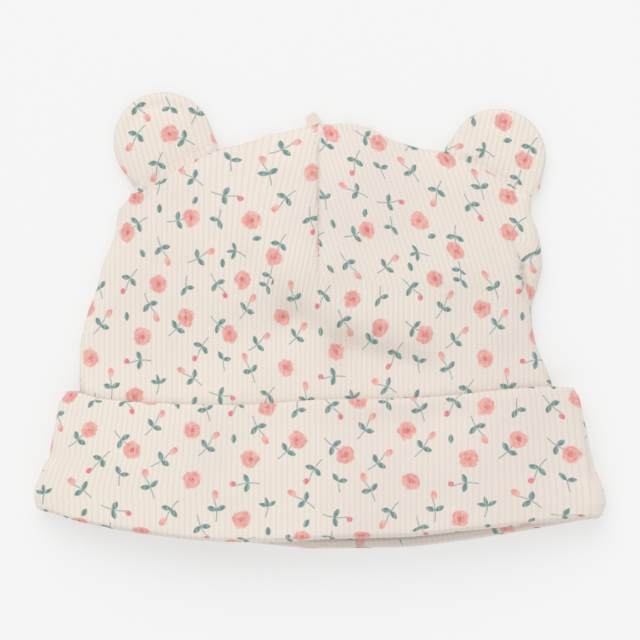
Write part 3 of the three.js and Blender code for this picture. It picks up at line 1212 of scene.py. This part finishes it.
    def roses(self, cloth: Socket) -> Socket:
        """Paints the roses, with folds of petals round a deep heart.

        Args:
            cloth: the colour below.
        Returns:
            The colour with them.
        """
        desk, work, inks = self.desk, self.work, self.inks
        away = desk.plus(self.oval(work.rose), desk.times(self.lobes, work.rose_lobes))
        petals = desk.times(desk.fade(away, *work.rose.edge), self.carries(Bloom.ROSE, Bloom.ROSE_SPRIG))
        ink = desk.mix(desk.fade(self.wash, *work.rose_wash), inks.rose, inks.rose_pale)
        turns = desk.times(desk.angle(self.side, self.ahead), work.petal_turns)
        swirl = desk.plus(desk.times(away, work.petal_rings), turns)
        swirl = desk.plus(swirl, desk.times(self.wash, work.petal_wander))
        ink = desk.tint(ink, desk.fade(desk.sine(swirl), *work.fold_edge), work.fold_ink, inks.rose_deep)
        specks = desk.fade(desk.noise(self.place, work.specks), *work.speck_edge)
        specks = desk.times(specks, desk.fade(away, *work.speck_within))
        ink = desk.tint(ink, specks, work.speck_ink, inks.rose_deep)
        ink = desk.tint(ink, desk.fade(away, *work.heart_within), work.full_ink, inks.rose_deep)
        return desk.tint(cloth, petals, work.full_ink, ink)


@dataclass(frozen=True)
class RibKnit:
    """The finish of fine rib knit, printed or bare, with its soft edges and the strength of each tint. Two
    tints are painted shade: one in the rib grooves, one where the ribs run flat.
    """

    name: str
    base: tuple
    # The darker cloth colour: painted shade in the rib grooves, and also random mottling.
    shade_and_mottle: tuple
    inks: Inks | None
    # pressed: colour of painted shade where the ribs run flat, round the bottom fold, at the hem, along the
    # seam, at the ear edges and on the hidden inside.
    pressed: tuple = (0.56, 0.49, 0.44, 1.0)
    pitch: float = 5.6
    course: float = 3.4
    groove_edge: tuple[float, float] = (0.62, 0.05)
    groove_shade_tint: float = 0.4
    blotch: Grain = Grain(22.0, 3.0)
    blotch_edge: tuple[float, float] = (0.35, 0.75)
    blotch_tint: float = 0.3
    fibre: Grain = Grain(2600.0, 2.0)
    fibre_edge: tuple[float, float] = (0.4, 0.8)
    fibre_tint: float = 0.16
    low_relief_shade_edge: tuple[float, float] = (1.0, 0.3)
    low_relief_shade_tint: float = 0.2
    print_gap: float = 0.3
    rough: float = 0.92
    shine: float = 0.12
    sheen: float = 0.25
    sheen_rough: float = 0.5
    loop_slant: float = 0.55
    loop_height: float = 0.35
    fibre_height: float = 0.9
    bump_strength: float = 0.35
    bump_metres: float = 0.00012

    def material(self) -> bpy.types.Material:
        """Builds the material.

        Returns:
            The material.
        """
        made = bpy.data.materials.new(self.name)
        desk = NodeDesk.of(made)
        place = desk.add("ShaderNodeTexCoord").outputs["Object"]
        across, down = desk.map_of("knit")
        wale = desk.times(across, MAP_UNIT / self.pitch)
        swing = desk.size(desk.cosine(desk.times(wale, math.pi)))
        in_groove = desk.fade(swing, *self.groove_edge)
        fibre = desk.noise(place, self.fibre)
        blotches = desk.fade(desk.noise(place, self.blotch), *self.blotch_edge)
        relief = desk.add("ShaderNodeAttribute", attribute_name="relief").outputs["Fac"]
        # Painted shade in the rib grooves; the same darker colour then mottles the cloth at random.
        cloth = desk.tint(self.base, in_groove, self.groove_shade_tint, self.shade_and_mottle)
        cloth = desk.tint(cloth, blotches, self.blotch_tint, self.shade_and_mottle)
        cloth = desk.tint(cloth, desk.fade(fibre, *self.fibre_edge), self.fibre_tint, self.shade_and_mottle)
        # Painted shade where the relief attribute is low: bottom fold, hem, seam, ear edges and the hidden
        # inside.
        cloth = desk.tint(cloth, desk.fade(relief, *self.low_relief_shade_edge), self.low_relief_shade_tint, self.pressed)
        if self.inks is not None:
            painted = PrintBrush(desk, self.inks, place).paint(cloth)
            cloth = desk.tint(painted, in_groove, self.print_gap, cloth)
        shader = desk.add("ShaderNodeBsdfPrincipled")
        desk.put(shader.inputs["Base Color"], cloth)
        shader.inputs["Roughness"].default_value = self.rough
        shader.inputs["Specular IOR Level"].default_value = self.shine
        shader.inputs["Sheen Weight"].default_value = self.sheen
        shader.inputs["Sheen Roughness"].default_value = self.sheen_rough
        slant = desk.plus(desk.times(down, MAP_UNIT / self.course), desk.times(swing, self.loop_slant))
        loop = desk.sine(desk.times(slant, 2 * math.pi))
        bump = desk.add("ShaderNodeBump")
        bump.inputs["Strength"].default_value = self.bump_strength
        bump.inputs["Distance"].default_value = self.bump_metres
        height = desk.plus(desk.times(loop, self.loop_height), desk.times(fibre, self.fibre_height))
        desk.put(bump.inputs["Height"], height)
        desk.put(shader.inputs["Normal"], bump.outputs[0])
        desk.put(desk.add("ShaderNodeOutputMaterial").inputs["Surface"], shader.outputs[0])
        made.diffuse_color = self.base
        return made


def ring_faces(rings: int, count: int, closed: bool) -> Array:
    """The quads between rings of points.

    Args:
        rings: how many rings.
        count: points in each.
        closed: whether the last ring joins the first.
    Returns:
        Rows of four point numbers.
    """
    lower = np.arange(rings if closed else rings - 1)[:, None]
    upper = (lower + 1) % rings
    here = np.arange(count)[None, :]
    after = (here + 1) % count
    quads = [lower * count + here, lower * count + after, upper * count + after, upper * count + here]
    return np.stack([np.broadcast_to(q, (len(lower), count)) for q in quads], axis=-1).reshape(-1, 4)


def ring_caps(ends: tuple[int, int], low: Array, high: Array) -> list[Array]:
    """The triangles that close two rings of points, each named as a quad with its middle twice.

    Args:
        ends: the point numbers of the middles.
        low: point numbers of the first ring, whose triangles turn the other way.
        high: point numbers of the last ring.
    Returns:
        Rows of four point numbers for each ring.
    """
    rings = (np.roll(low, -1), low), (high, np.roll(high, -1))
    return [np.stack([np.full(len(a), end)] * 2 + [a, b], axis=-1) for end, (a, b) in zip(ends, rings)]


# The fold of the side panel over the crown's front, in chart units.
SIDE_FLAP = {"y": (236, 266, 300, 312), "x": (511, 523, 528, 534)}


@dataclass(frozen=True)
class CrownDrape:
    """How the print lies on the crown's front, in chart units: shifts, slants and the side flap's jump."""

    start: tuple[float, float] = (187, 298)
    stretch: float = 0.935
    slack: float = 10
    slack_spread: float = 160
    left_slant: float = -0.24
    left_from: tuple[float, float] = (190, 300)
    right_slant: float = 0.34
    right_from: tuple[float, float] = (400, 287)
    right_eased: float = 0.25
    right_spread: float = 150
    down: float = 122
    lifted: float = 16
    lifted_at: float = 335
    lifted_spread: float = 68
    flap_shift: tuple[float, float] = (28, -8)
    flap_edge: float = 2.5
    flap_lead: float = 1
    flap_top: tuple[float, float] = (236, 30)
    flap_foot: tuple[float, float] = (330, 15)

    def at(self, x: Array, y: Array) -> Array:
        """Where a place of the crown's front lies on the print's chart.

        Args:
            x: chart x as seen from above.
            y: chart y as seen from above.
        Returns:
            The place's u and v.
        """
        seam_x = VIEW_MIDDLE[0] - 1
        from_start = x - self.start[0]
        slack = self.slack * smooth(from_start / self.slack_spread)
        across = self.start[1] + from_start / self.stretch + slack
        left_x, left_y = self.left_from
        right_x, right_y = self.right_from
        left = self.left_slant * np.maximum(left_y - y, 0) * smooth((x - left_x) / (seam_x - left_x))
        eased = 1 - self.right_eased * smooth((x - right_x) / self.right_spread)
        right = self.right_slant * np.maximum(right_y - y, 0) * eased
        flap_x = np.interp(y, SIDE_FLAP["y"], SIDE_FLAP["x"])
        tucked = smooth((x - flap_x + self.flap_lead) / self.flap_edge)
        tucked = tucked * smooth((y - self.flap_top[0]) / self.flap_top[1])
        tucked = tucked * smooth((self.flap_foot[0] - y) / self.flap_foot[1])
        u = across + np.where(x < seam_x, left, right) + self.flap_shift[0] * tucked
        v = y + self.down - self.lifted * bell((x - self.lifted_at) / self.lifted_spread)
        return np.stack([u, v + self.flap_shift[1] * tucked], axis=-1)


@dataclass
class TubePart:
    """A part of the flattened tube, between rings of its columns. Each kind brings its own front_chart."""

    shape: HatShape
    placing: Placing
    floral: FloralPrint
    back_stretch = 0.95

    def patch(
        self, name: str, columns: Columns, rings: Array, drop: Array, relief: Array, closed: bool
    ) -> ClothPatch:
        """Joins rings into a patch and finds where its corners lie on the cloth.

        Args:
            name: the piece's name.
            columns: the columns round the tube.
            rings: rings by columns by three.
            drop: how much further down the cloth each ring is than it looks, in chart units.
            relief: each ring's share of the ribs' height; where it is low, the finish also paints shade.
            closed: whether the rings close on each other.
        Returns:
            The patch.
        """
        count = columns.count
        half = count // 2
        chart_x, chart_y = chart_place(rings[..., 0], rings[..., 1])
        low, high = rings[..., :1, 0], rings[..., half : half + 1, 0]
        near = np.minimum(rings[..., 0] - low, high - rings[..., 0])
        held = np.clip(near, 0, FOLD_RADIUS)
        slack = FOLD_RADIUS * (math.pi / 2 - np.arccos(1 - held / FOLD_RADIUS)) - (FOLD_RADIUS - held)
        way = np.where(rings[..., 0] - low < high - rings[..., 0], -1.0, 1.0)
        cloth_x = chart_x + way * slack / CHART_UNIT
        front = self.front_chart(cloth_x, chart_y + drop[:, None])
        edge = front[:, half : half + 1]
        back = front.copy()
        back[..., 0] = edge[..., 0] + (cloth_x[:, half : half + 1] - cloth_x) / self.back_stretch
        faces = ring_faces(len(rings), count, closed)
        columns_of = faces % count
        wraps = (columns_of == 0).any(axis=1) & (columns_of == count - 1).any(axis=1)
        on_front = (columns_of <= half).all(axis=1) & ~wraps
        flat_front, flat_back = front.reshape(-1, 2), back.reshape(-1, 2)
        cloth = np.where(on_front[:, None, None], flat_front[faces], flat_back[faces])
        return ClothPatch(name, rings.reshape(-1, 3), faces, cloth, np.repeat(relief, count).astype(float))


# Where the crown and the cuff lie on each other, both are laid out at the same reaches, so they bend alike.
LAP_REACHES = np.linspace(0, 1, 13)


@dataclass
class Crown(TubePart):
    """The crown: the tube from the mouth to the seam along its top."""

    panel_steps: int = 520
    fold_steps: int = 9
    outer_rows: int = 41
    inner_rows: int = 26
    seam_rows: int = 7
    seen_from: float = 0.95
    last_reach: float = 1.92
    lap_relief: float = 0.5
    seam_relief: tuple[float, ...] = (0.7, 0.4, 0.0)

    front_chart = staticmethod(CrownDrape().at)

    def sheet(self, columns: Columns, layer: Layer, reaches: Array) -> Array:
        """One surface of the crown, closed along the seam.

        Args:
            columns: the columns round the tube.
            layer: the surface.
            reaches: its rings below the seam.
        Returns:
            The rings.
        """
        body = self.shape.place(columns, reaches, layer)
        foot = self.shape.place(columns, np.full(columns.count, self.last_reach), layer)[0, :, 1]
        top = self.shape.place(columns, np.full(columns.count, 2.0), layer)[0, :, 1]
        rise = top - foot
        radius = FOLD_RADIUS + layer.out
        rounds = []
        for step in range(1, self.seam_rows + 1):
            drop = np.minimum(radius, rise) * (1 - math.sin(step / self.seam_rows * math.pi / 2))
            reach = self.last_reach + (2 - self.last_reach) * (1 - drop / rise)
            rounds.append(self.shape.place(columns, reach[None, :], layer)[0])
        return np.concatenate([body, np.stack(rounds)])

    def build(self) -> Piece:
        """Makes the crown.

        Returns:
            The object.
        """
        columns = Columns(self.panel_steps, self.fold_steps)
        foot = (TURN_LEG + SLIP) / HEM_RISE
        lap = np.concatenate([[foot], LAP_REACHES[(LAP_REACHES > foot) & (LAP_REACHES < self.seen_from)]])
        seen = np.linspace(self.seen_from, self.last_reach, self.outer_rows)
        outer = self.sheet(columns, CROWN_OUT, np.concatenate([lap, seen]))
        inner = self.sheet(columns, CROWN_IN, np.linspace(foot, self.last_reach, self.inner_rows))[::-1]
        rings = np.concatenate([inner, outer])
        hidden = len(inner) + len(lap)
        # Low relief flattens the ribs and also paints shade, on the hidden rings and along the seam.
        relief = np.concatenate([np.zeros(hidden), np.ones(len(rings) - hidden)])
        relief[hidden] = self.lap_relief
        relief[-len(self.seam_relief) :] = self.seam_relief
        patch = self.patch("crown_cloth", columns, rings, np.zeros(len(rings)), relief, False)
        patch.faces = self.close_seam(patch.faces, len(rings), columns.count)
        return self.compact(patch).mesh(self.placing, self.floral)

    @staticmethod
    def close_seam(faces: Array, rings: int, count: int) -> Array:
        """Joins the front and back of the first and last ring, where they lie on each other.

        Args:
            faces: rows of point numbers.
            rings: how many rings.
            count: points in each.
        Returns:
            The rows with shared points.
        """
        ring, column = faces // count, faces % count
        shared = ((ring == 0) | (ring == rings - 1)) & (column > count // 2)
        return np.where(shared, ring * count + (count - column) % count, faces)

    @staticmethod
    def compact(patch: ClothPatch) -> ClothPatch:
        """Leaves out points that no face uses.

        Args:
            patch: the patch.
        Returns:
            The patch.
        """
        used, faces = np.unique(patch.faces, return_inverse=True)
        patch.faces = faces.reshape(patch.faces.shape)
        patch.points = patch.points[used]
        patch.relief = patch.relief[used]
        return patch


@dataclass(frozen=True)
class SideDrape:
    """How far the cuff's ribs follow the flare of one side, in chart units."""

    side: int
    home: float
    hold: float
    spread: float


@dataclass
class Cuff(TubePart):
    """The turned-up cuff, doubled outside the crown."""

    panel_steps: int = 600
    fold_steps: int = 10
    outer_rows: int = 40
    turn_rows: int = 20
    hem_rows: int = 5
    furrows: float = 3.5
    furrow_depth: float = 0.22
    turned_relief: float = 0.3
    hem_relief: float = 0.3
    fold_fade: float = 1.6
    drapes: tuple[SideDrape, ...] = (SideDrape(-1, 0.3, 0.95, 200.0), SideDrape(1, 1.0, 0.62, 130.0))
    edge_spread: float = 9.0
    pulled_up: float = 12.0
    pulled_from: float = 50.0
    pulled_spread: float = 90.0

    def front_chart(self, x: Array, y: Array) -> Array:
        """Place on the print's chart of the cuff's front, whose ribs follow its flared sides.

        Args:
            x: chart x as seen from above.
            y: chart y as seen from above.
        Returns:
            u and v.
        """
        up = (MOUTH_LINE - y) * CHART_UNIT
        u = x
        for drape in self.drapes:
            end = np.full(1, float(drape.side))
            fold, hem = self.shape.rise(Face.FRONT, end, np.array([0.0, 1.0]), CUFF_OUT)
            reach = unit((up - fold) / (hem - fold))
            home = self.shape.side(drape.side, np.full(1, drape.home), CUFF_OUT)[0]
            edge = self.shape.side(drape.side, reach, CUFF_OUT)
            away = np.abs(x - VIEW_MIDDLE[0] - edge / CHART_UNIT)
            held = drape.hold * unit(1 - away / drape.spread)
            held = held + (1 - drape.hold) * bell(away / self.edge_spread)
            u = u - held * (edge - home) / CHART_UNIT
        pulled = self.pulled_up * bell((x - self.pulled_from) / self.pulled_spread)
        return np.stack([u, y + pulled], axis=-1)

    @staticmethod
    def round_between(start: Array, end: Array, bulge: float, steps: int) -> Array:
        """Rings that lead round a half circle from one ring to another.

        Args:
            start: the first ring.
            end: the last ring.
            bulge: how far the half circle stands out along Y.
            steps: how many steps it has.
        Returns:
            The rings between.
        """
        rings = []
        for step in range(1, steps):
            turn = step / steps * math.pi
            ring = start + (end - start) * (1 - math.cos(turn)) / 2
            ring[:, 1] += bulge * math.sin(turn)
            rings.append(ring)
        return np.stack(rings)

    def furrowed(self, turn: Array) -> Array:
        """Presses the fine furrows along the bottom fold into its rings.

        Args:
            turn: the rings round the fold.
        Returns:
            The furrowed rings.
        """
        share = np.arange(1, len(turn) + 1) / (len(turn) + 1)
        angle = share * math.pi
        depth = self.furrow_depth * np.sin(angle) * np.cos(share * self.furrows * 2 * math.pi)
        pressed = turn.copy()
        pressed[..., 1] -= (depth * np.sin(angle))[:, None]
        pressed[..., 2] += (depth * np.cos(angle))[:, None] * np.sign(turn[0, :, 2] - turn[-1, :, 2])
        return pressed

    def build(self) -> Piece:
        """Makes the cuff.

        Returns:
            The object.
        """
        columns = Columns(self.panel_steps, self.fold_steps)
        outer = self.shape.place(columns, np.linspace(0, 1, self.outer_rows), CUFF_OUT)
        inner = self.shape.place(columns, LAP_REACHES, CUFF_IN)[::-1]
        hem = self.round_between(outer[-1], inner[0], CLOTH / 2, self.hem_rows)
        leg = np.array([0.0, TURN_LEG / HEM_RISE])
        legs = [self.shape.place(columns, leg, CROWN_OUT), self.shape.place(columns, leg, CROWN_IN)[::-1]]
        inside = np.concatenate(legs)
        turn = self.furrowed(self.round_between(inside[-1], outer[0], -TURN_RADIUS, self.turn_rows))
        rings = np.concatenate([outer, hem, inner, inside, turn])
        turned = math.pi * TURN_RADIUS / CHART_UNIT
        past_turn = turned * (1 - np.arange(1, self.turn_rows) / self.turn_rows)
        past_hem = -np.arange(1, self.hem_rows) * CLOTH / CHART_UNIT / self.hem_rows
        drop = np.concatenate(
            [np.zeros(len(outer)), past_hem, np.zeros(len(inner)), np.full(len(inside), turned), past_turn]
        )
        # Low relief flattens the ribs and also paints shade, on the hidden layers, round the bottom fold
        # and at the hem.
        relief = np.concatenate(
            [
                np.ones(len(outer) + len(hem)),
                np.zeros(len(inner) + len(inside)),
                1 - (1 - self.turned_relief) * unit(self.fold_fade * past_turn / turned),
            ]
        )
        relief[len(outer) + len(hem) - 1] = self.hem_relief
        patch = self.patch("cuff_cloth", columns, rings, drop, relief, True)
        return patch.mesh(self.placing, self.floral)


@dataclass
class Ear:
    """A round ear, two layers of rib knit turned out and sewn into the crown seam."""

    name: str
    shape: HatShape
    placing: Placing
    floral: FloralPrint
    radius: float
    across: float
    stand: float
    anchor: tuple[float, float]
    chart_anchor: tuple[float, float]
    turn: float
    thickness: float = 4.4
    tuck: float = 0.7
    flare: float = 1.7
    flare_height: float = 3.4
    foot_half: float = 1.55
    rim_depth: float = 0.3
    rim_share: float = 0.72
    rim_width: float = 0.13
    rim_from: float = 0.5
    angles: int = 340
    rings: int = 34
    trail_steps: int = 300
    evened_over: int = 7
    foot_fade: float = 2.4
    foot_start: float = 0.3
    foot_spread: float = 0.3
    puff_power: float = 2.6
    wave: float = 0.03
    waves: int = 3
    wave_start: float = 1.0
    gather: float = 0.16
    gathers: float = 2.1
    gather_start: float = 0.45
    gather_spread: float = 0.5
    edge_share: float = 1.02
    edge_fade: float = 0.08

    def reach(self, centre: Array, ray: Array) -> Array:
        """How far the ear's edge lies from its middle, where its flared foot meets the crown's seam.

        Args:
            centre: its middle.
            ray: the directions round it.
        Returns:
            The reach in each direction, in mm.
        """
        most = self.radius + self.flare
        spread = np.linspace(0, 1, self.trail_steps)[:, None] * most
        trail = centre + ray[None] * spread[..., None]
        above = trail[..., 1] - self.shape.seam_rise(trail[..., 0])
        inside = spread < self.radius + self.flare * bell(np.maximum(above, 0) / self.flare_height)
        clear = np.logical_and.accumulate((above > -self.tuck) & inside, axis=0)
        reach = spread[np.maximum(clear.sum(axis=0) - 1, 0), 0]
        side = self.evened_over // 2
        evened = np.ones(self.evened_over) / self.evened_over
        return np.convolve(np.concatenate([reach[-side:], reach, reach[:side]]), evened, "valid")

    def build(self) -> Piece:
        """Makes the ear.

        Returns:
            The object.
        """
        foot_x = self.across * CROWN_HALF_WIDTH
        foot_y = float(self.shape.seam_rise(np.array([foot_x]))[0])
        centre = np.array([foot_x, foot_y + self.stand * self.radius])
        angle = np.arange(self.angles) / self.angles * 2 * math.pi
        ray = np.stack([np.cos(angle), np.sin(angle)], axis=-1)
        reach = self.reach(centre, ray)
        foot_rise = centre[1] + ray[:, 1] * reach - self.shape.seam_rise(centre[0] + ray[:, 0] * reach)
        at_foot = smooth((self.foot_fade - foot_rise) / self.foot_fade)
        share = np.sin(np.linspace(0, math.pi / 2, self.rings + 1))[1:, None]
        flat = centre + ray[None] * (share * reach[None])[..., None]
        half_thick = self.thickness / 2
        puff = np.sqrt(np.maximum(1 - share**self.puff_power, 0))
        level = self.foot_half / half_thick * smooth((share - self.foot_start) / self.foot_spread)
        puff = np.maximum(puff, at_foot[None] * level)
        wave = 1 + self.wave * np.sin(self.waves * angle + self.wave_start)
        gathered = at_foot * smooth((share - self.gather_start) / self.gather_spread)
        gather = self.gather * np.sin(flat[..., 0] * self.gathers) * gathered
        half = np.maximum(half_thick * puff * wave + gather * puff, 0)
        half[-1] = 0
        hollow = self.rim_depth * bell((share - self.rim_share) / self.rim_width)
        hollow = hollow * smooth(ray[:, 1] + self.rim_from)
        top = np.concatenate([flat, (FOLD_RADIUS + half - hollow)[..., None]], axis=-1)
        low = np.concatenate([flat, (FOLD_RADIUS - half)[..., None]], axis=-1)
        poles = np.array([[*centre, FOLD_RADIUS + half_thick], [*centre, FOLD_RADIUS - half_thick]])
        return self.join(top, low, poles)

    def join(self, top: Array, low: Array, poles: Array) -> Piece:
        """Joins the ear's two faces at its edge.

        Args:
            top: rings of the upper face, from the middle out.
            low: rings of the lower face.
            poles: the middles of both faces.
        Returns:
            The object.
        """
        count, rings = self.angles, len(top)
        points = np.concatenate([top.reshape(-1, 3), low[:-1].reshape(-1, 3), poles])
        upper = ring_faces(rings, count, False)
        lower = np.where(upper >= (rings - 1) * count, upper, upper + rings * count)[:, ::-1]
        first = np.arange(count)
        poles_at = (len(points) - 2, len(points) - 1)
        faces = np.concatenate([upper, lower, *ring_caps(poles_at, first, rings * count + first)])
        chart_x, chart_y = chart_place(points[:, 0], points[:, 1])
        across, down = chart_x - self.anchor[0], chart_y - self.anchor[1]
        cos, sin = math.cos(math.radians(self.turn)), math.sin(math.radians(self.turn))
        turned = np.stack([across * cos + down * sin, down * cos - across * sin], axis=-1)
        cloth = turned + self.chart_anchor
        edge = np.hypot(*(points[:, :2] - points[-1, :2]).T) / self.radius
        # Relief falls to 0 at the edge, which flattens the ribs and paints shade round the rim.
        relief = unit((self.edge_share - edge) / self.edge_fade)
        return ClothPatch(self.name, points, faces, cloth[faces], relief).mesh(self.placing, self.floral)


@dataclass
class SeamTip:
    """The folded end of the crown seam, a soft tab at the top."""

    shape: HatShape
    placing: Placing
    foot: float = 4.6
    top: float = 3.2
    length: float = 5.8
    sunk: float = 2.8
    thickness: float = 1.8
    lean: float = 0.42
    across: float = -1.4
    around: int = 56
    rows: int = 26
    squareness: float = 0.32
    spare: float = 0.6
    rounded: float = 0.5
    inset: float = 0.35
    below: float = 0.35
    ripple: float = 0.18
    ripples: float = 2.5
    thin_end: float = 0.35
    end_rise: float = 0.3
    above_seam: float = 0.3

    def build(self) -> Piece:
        """Makes the tab.

        Returns:
            The object.
        """
        turn = np.arange(self.around) / self.around * 2 * math.pi
        loop_x = np.sign(np.cos(turn)) * np.abs(np.cos(turn)) ** self.squareness
        loop_z = np.sign(np.sin(turn)) * np.abs(np.sin(turn)) ** (2 * self.squareness)
        rise = self.length - self.sunk + self.spare
        share = np.linspace(0.0, 1.0, self.rows)[:, None]
        end = round_up((1 - share) * rise / self.rounded)
        half = (self.foot + (self.top - self.foot) * share) / 2
        x = loop_x * (half - self.inset * (1 - end))
        y = share * rise - self.below + self.ripple * np.sin(loop_x * self.ripples) * share
        fullness = self.thin_end + (1 - self.thin_end) * end
        z = loop_z * self.thickness / 2 * fullness + self.end_rise * share**2
        flat = np.stack([x, y, z], axis=-1).reshape(-1, 3)
        cos, sin = math.cos(self.lean), math.sin(self.lean)
        seam = float(self.shape.seam_rise(np.array([self.across]))[0])
        points = flat.copy()
        points[:, 0] = flat[:, 0] * cos - flat[:, 1] * sin + self.across
        points[:, 1] = flat[:, 0] * sin + flat[:, 1] * cos + seam + self.above_seam
        points[:, 2] += FOLD_RADIUS
        middles = [points[: self.around].mean(0), points[-self.around :].mean(0)]
        points = np.concatenate([points, middles])
        first = np.arange(self.around)
        caps = ring_caps((len(points) - 2, len(points) - 1), first, (self.rows - 1) * self.around + first)
        faces = np.concatenate([ring_faces(self.rows, self.around, False), *caps])
        cloth = np.concatenate([flat[:, :2], [[0, 0], [0, rise]]]) / CHART_UNIT
        patch = ClothPatch("seam_tip_cloth", points, faces, cloth[faces], np.ones(len(points)))
        return patch.mesh(self.placing, None)


@dataclass(frozen=True)
class Studio:
    """The pale floor, the soft light and the camera."""

    floor: tuple = linear(176, 176, 176)
    floor_dark: tuple = linear(174, 174, 174)
    floor_grain: Grain = Grain(3.0, 2.0)
    floor_size: float = 6.0
    white: tuple = (1.0, 1.0, 1.0, 1.0)
    glow: float = 0.475
    room: float = 0.838
    sun: float = 0.79
    window_way: tuple[float, float, float] = (-0.35, 0.9, 1.2)
    window_width: float = 50
    camera_height: float = 1.3
    hat_level: float = 0.01
    seen_width: float = 0.192
    sensor: float = 36.0
    far_clip: float = 20.0

    def build(self) -> None:
        """Sets up the studio."""
        scene = bpy.context.scene
        scene.view_settings.view_transform = "Standard"
        bpy.ops.mesh.primitive_plane_add(size=self.floor_size)
        floor = bpy.context.object
        floor.name = "floor"
        finish = bpy.data.materials.new("pale_floor")
        desk = NodeDesk.of(finish)
        place = desk.add("ShaderNodeTexCoord").outputs["Object"]
        shader = desk.add("ShaderNodeBsdfPrincipled")
        tone = desk.mix(desk.noise(place, self.floor_grain), self.floor, self.floor_dark)
        desk.put(shader.inputs["Base Color"], tone)
        shader.inputs["Emission Color"].default_value = self.white
        shader.inputs["Emission Strength"].default_value = self.glow
        shader.inputs["Roughness"].default_value = 1.0
        shader.inputs["Specular IOR Level"].default_value = 0.0
        desk.put(desk.add("ShaderNodeOutputMaterial").inputs["Surface"], shader.outputs[0])
        floor.data.materials.append(finish)
        world = bpy.data.worlds.new("soft_room")
        world.use_nodes = True
        backdrop = world.node_tree.nodes["Background"].inputs
        backdrop["Color"].default_value = self.white
        backdrop["Strength"].default_value = self.room
        scene.world = world
        self.window()
        camera = bpy.data.objects.new("camera", bpy.data.cameras.new("camera"))
        camera.data.sensor_width = self.sensor
        camera.data.lens = self.sensor * (self.camera_height - self.hat_level) / self.seen_width
        camera.data.clip_end = self.far_clip
        camera.location = (0.0, 0.0, self.camera_height)
        scene.collection.objects.link(camera)
        scene.camera = camera

    def window(self) -> None:
        """Adds the soft window light."""
        light = bpy.data.lights.new("window", "SUN")
        light.angle = math.radians(self.window_width)
        light.energy = self.sun
        lamp = bpy.data.objects.new("window", light)
        lamp.rotation_mode = "QUATERNION"
        lamp.rotation_quaternion = (-Vector(self.window_way)).to_track_quat("-Z", "Y")
        bpy.context.scene.collection.objects.link(lamp)


RIB_HEIGHTS = {"crown": 0.2, "cuff": 0.12, "ear_left": 0.16, "ear_right": 0.16, "seam_tip": 0.14}
PLACING_STEPS = 400
PLACING_FOLD_STEPS = 4
PRINTED = RibKnit("printed_rib", linear(236, 227, 217), linear(215, 203, 197), Inks())
BARE = RibKnit("bare_rib", linear(236, 226, 215), linear(226, 214, 203), None)


def hat_placing(shape: HatShape) -> Placing:
    """Where the frame holds the hat.

    Args:
        shape: the hat's shape.
    Returns:
        The placing.
    """
    low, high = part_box("cuff")
    reach = np.linspace(0, 1, PLACING_STEPS)
    left = shape.side(-1, reach, CUFF_OUT).min()
    right = shape.side(1, reach, CUFF_OUT).max()
    columns = Columns(PLACING_STEPS, PLACING_FOLD_STEPS)
    fold = shape.place(columns, np.zeros(1), CUFF_OUT)[0]
    inner = shape.place(columns, np.zeros(1), CROWN_IN)[0]
    lowest = ((fold + inner) / 2)[:, 1].min() - TURN_RADIUS
    return Placing(((low.x + high.x) / 2 / METRE - (left + right) / 2, low.y / METRE - lowest))


def main() -> None:
    """Builds the looks on the frame."""
    logging.basicConfig(level=logging.INFO, format="%(message)s")
    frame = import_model()
    LOG.info("frame: %s", sorted(frame["nodes"]))
    shape = HatShape()
    placing = hat_placing(shape)
    LOG.info("shift: %.2f %.2f", *placing.shift)
    floral = FloralPrint()
    printed, plain = PRINTED.material(), BARE.material()
    ribs = RibRelief()
    pieces = {
        "crown": Crown(shape, placing, floral).build(),
        "cuff": Cuff(shape, placing, floral).build(),
        "ear_left": Ear(
            "ear_left_cloth",
            shape,
            placing,
            floral,
            radius=15.0,
            across=-0.654,
            stand=0.72,
            anchor=(170, 133),
            chart_anchor=(346, 454),
            turn=165,
            rim_depth=0.75,
        ).build(),
        "ear_right": Ear(
            "ear_right_cloth",
            shape,
            placing,
            floral,
            radius=14.5,
            across=0.747,
            stand=0.42,
            anchor=(505, 121),
            chart_anchor=(362, 339),
            turn=13,
        ).build(),
        "seam_tip": SeamTip(shape, placing).build(),
    }
    for node, piece in pieces.items():
        knit, finish = (BARE, plain) if node == "seam_tip" else (PRINTED, printed)
        ribs.knit(piece, finish, RIB_HEIGHTS[node])
        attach(piece, "root")
        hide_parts(node)
    Studio().build()


if __name__ == "__main__":
    main()
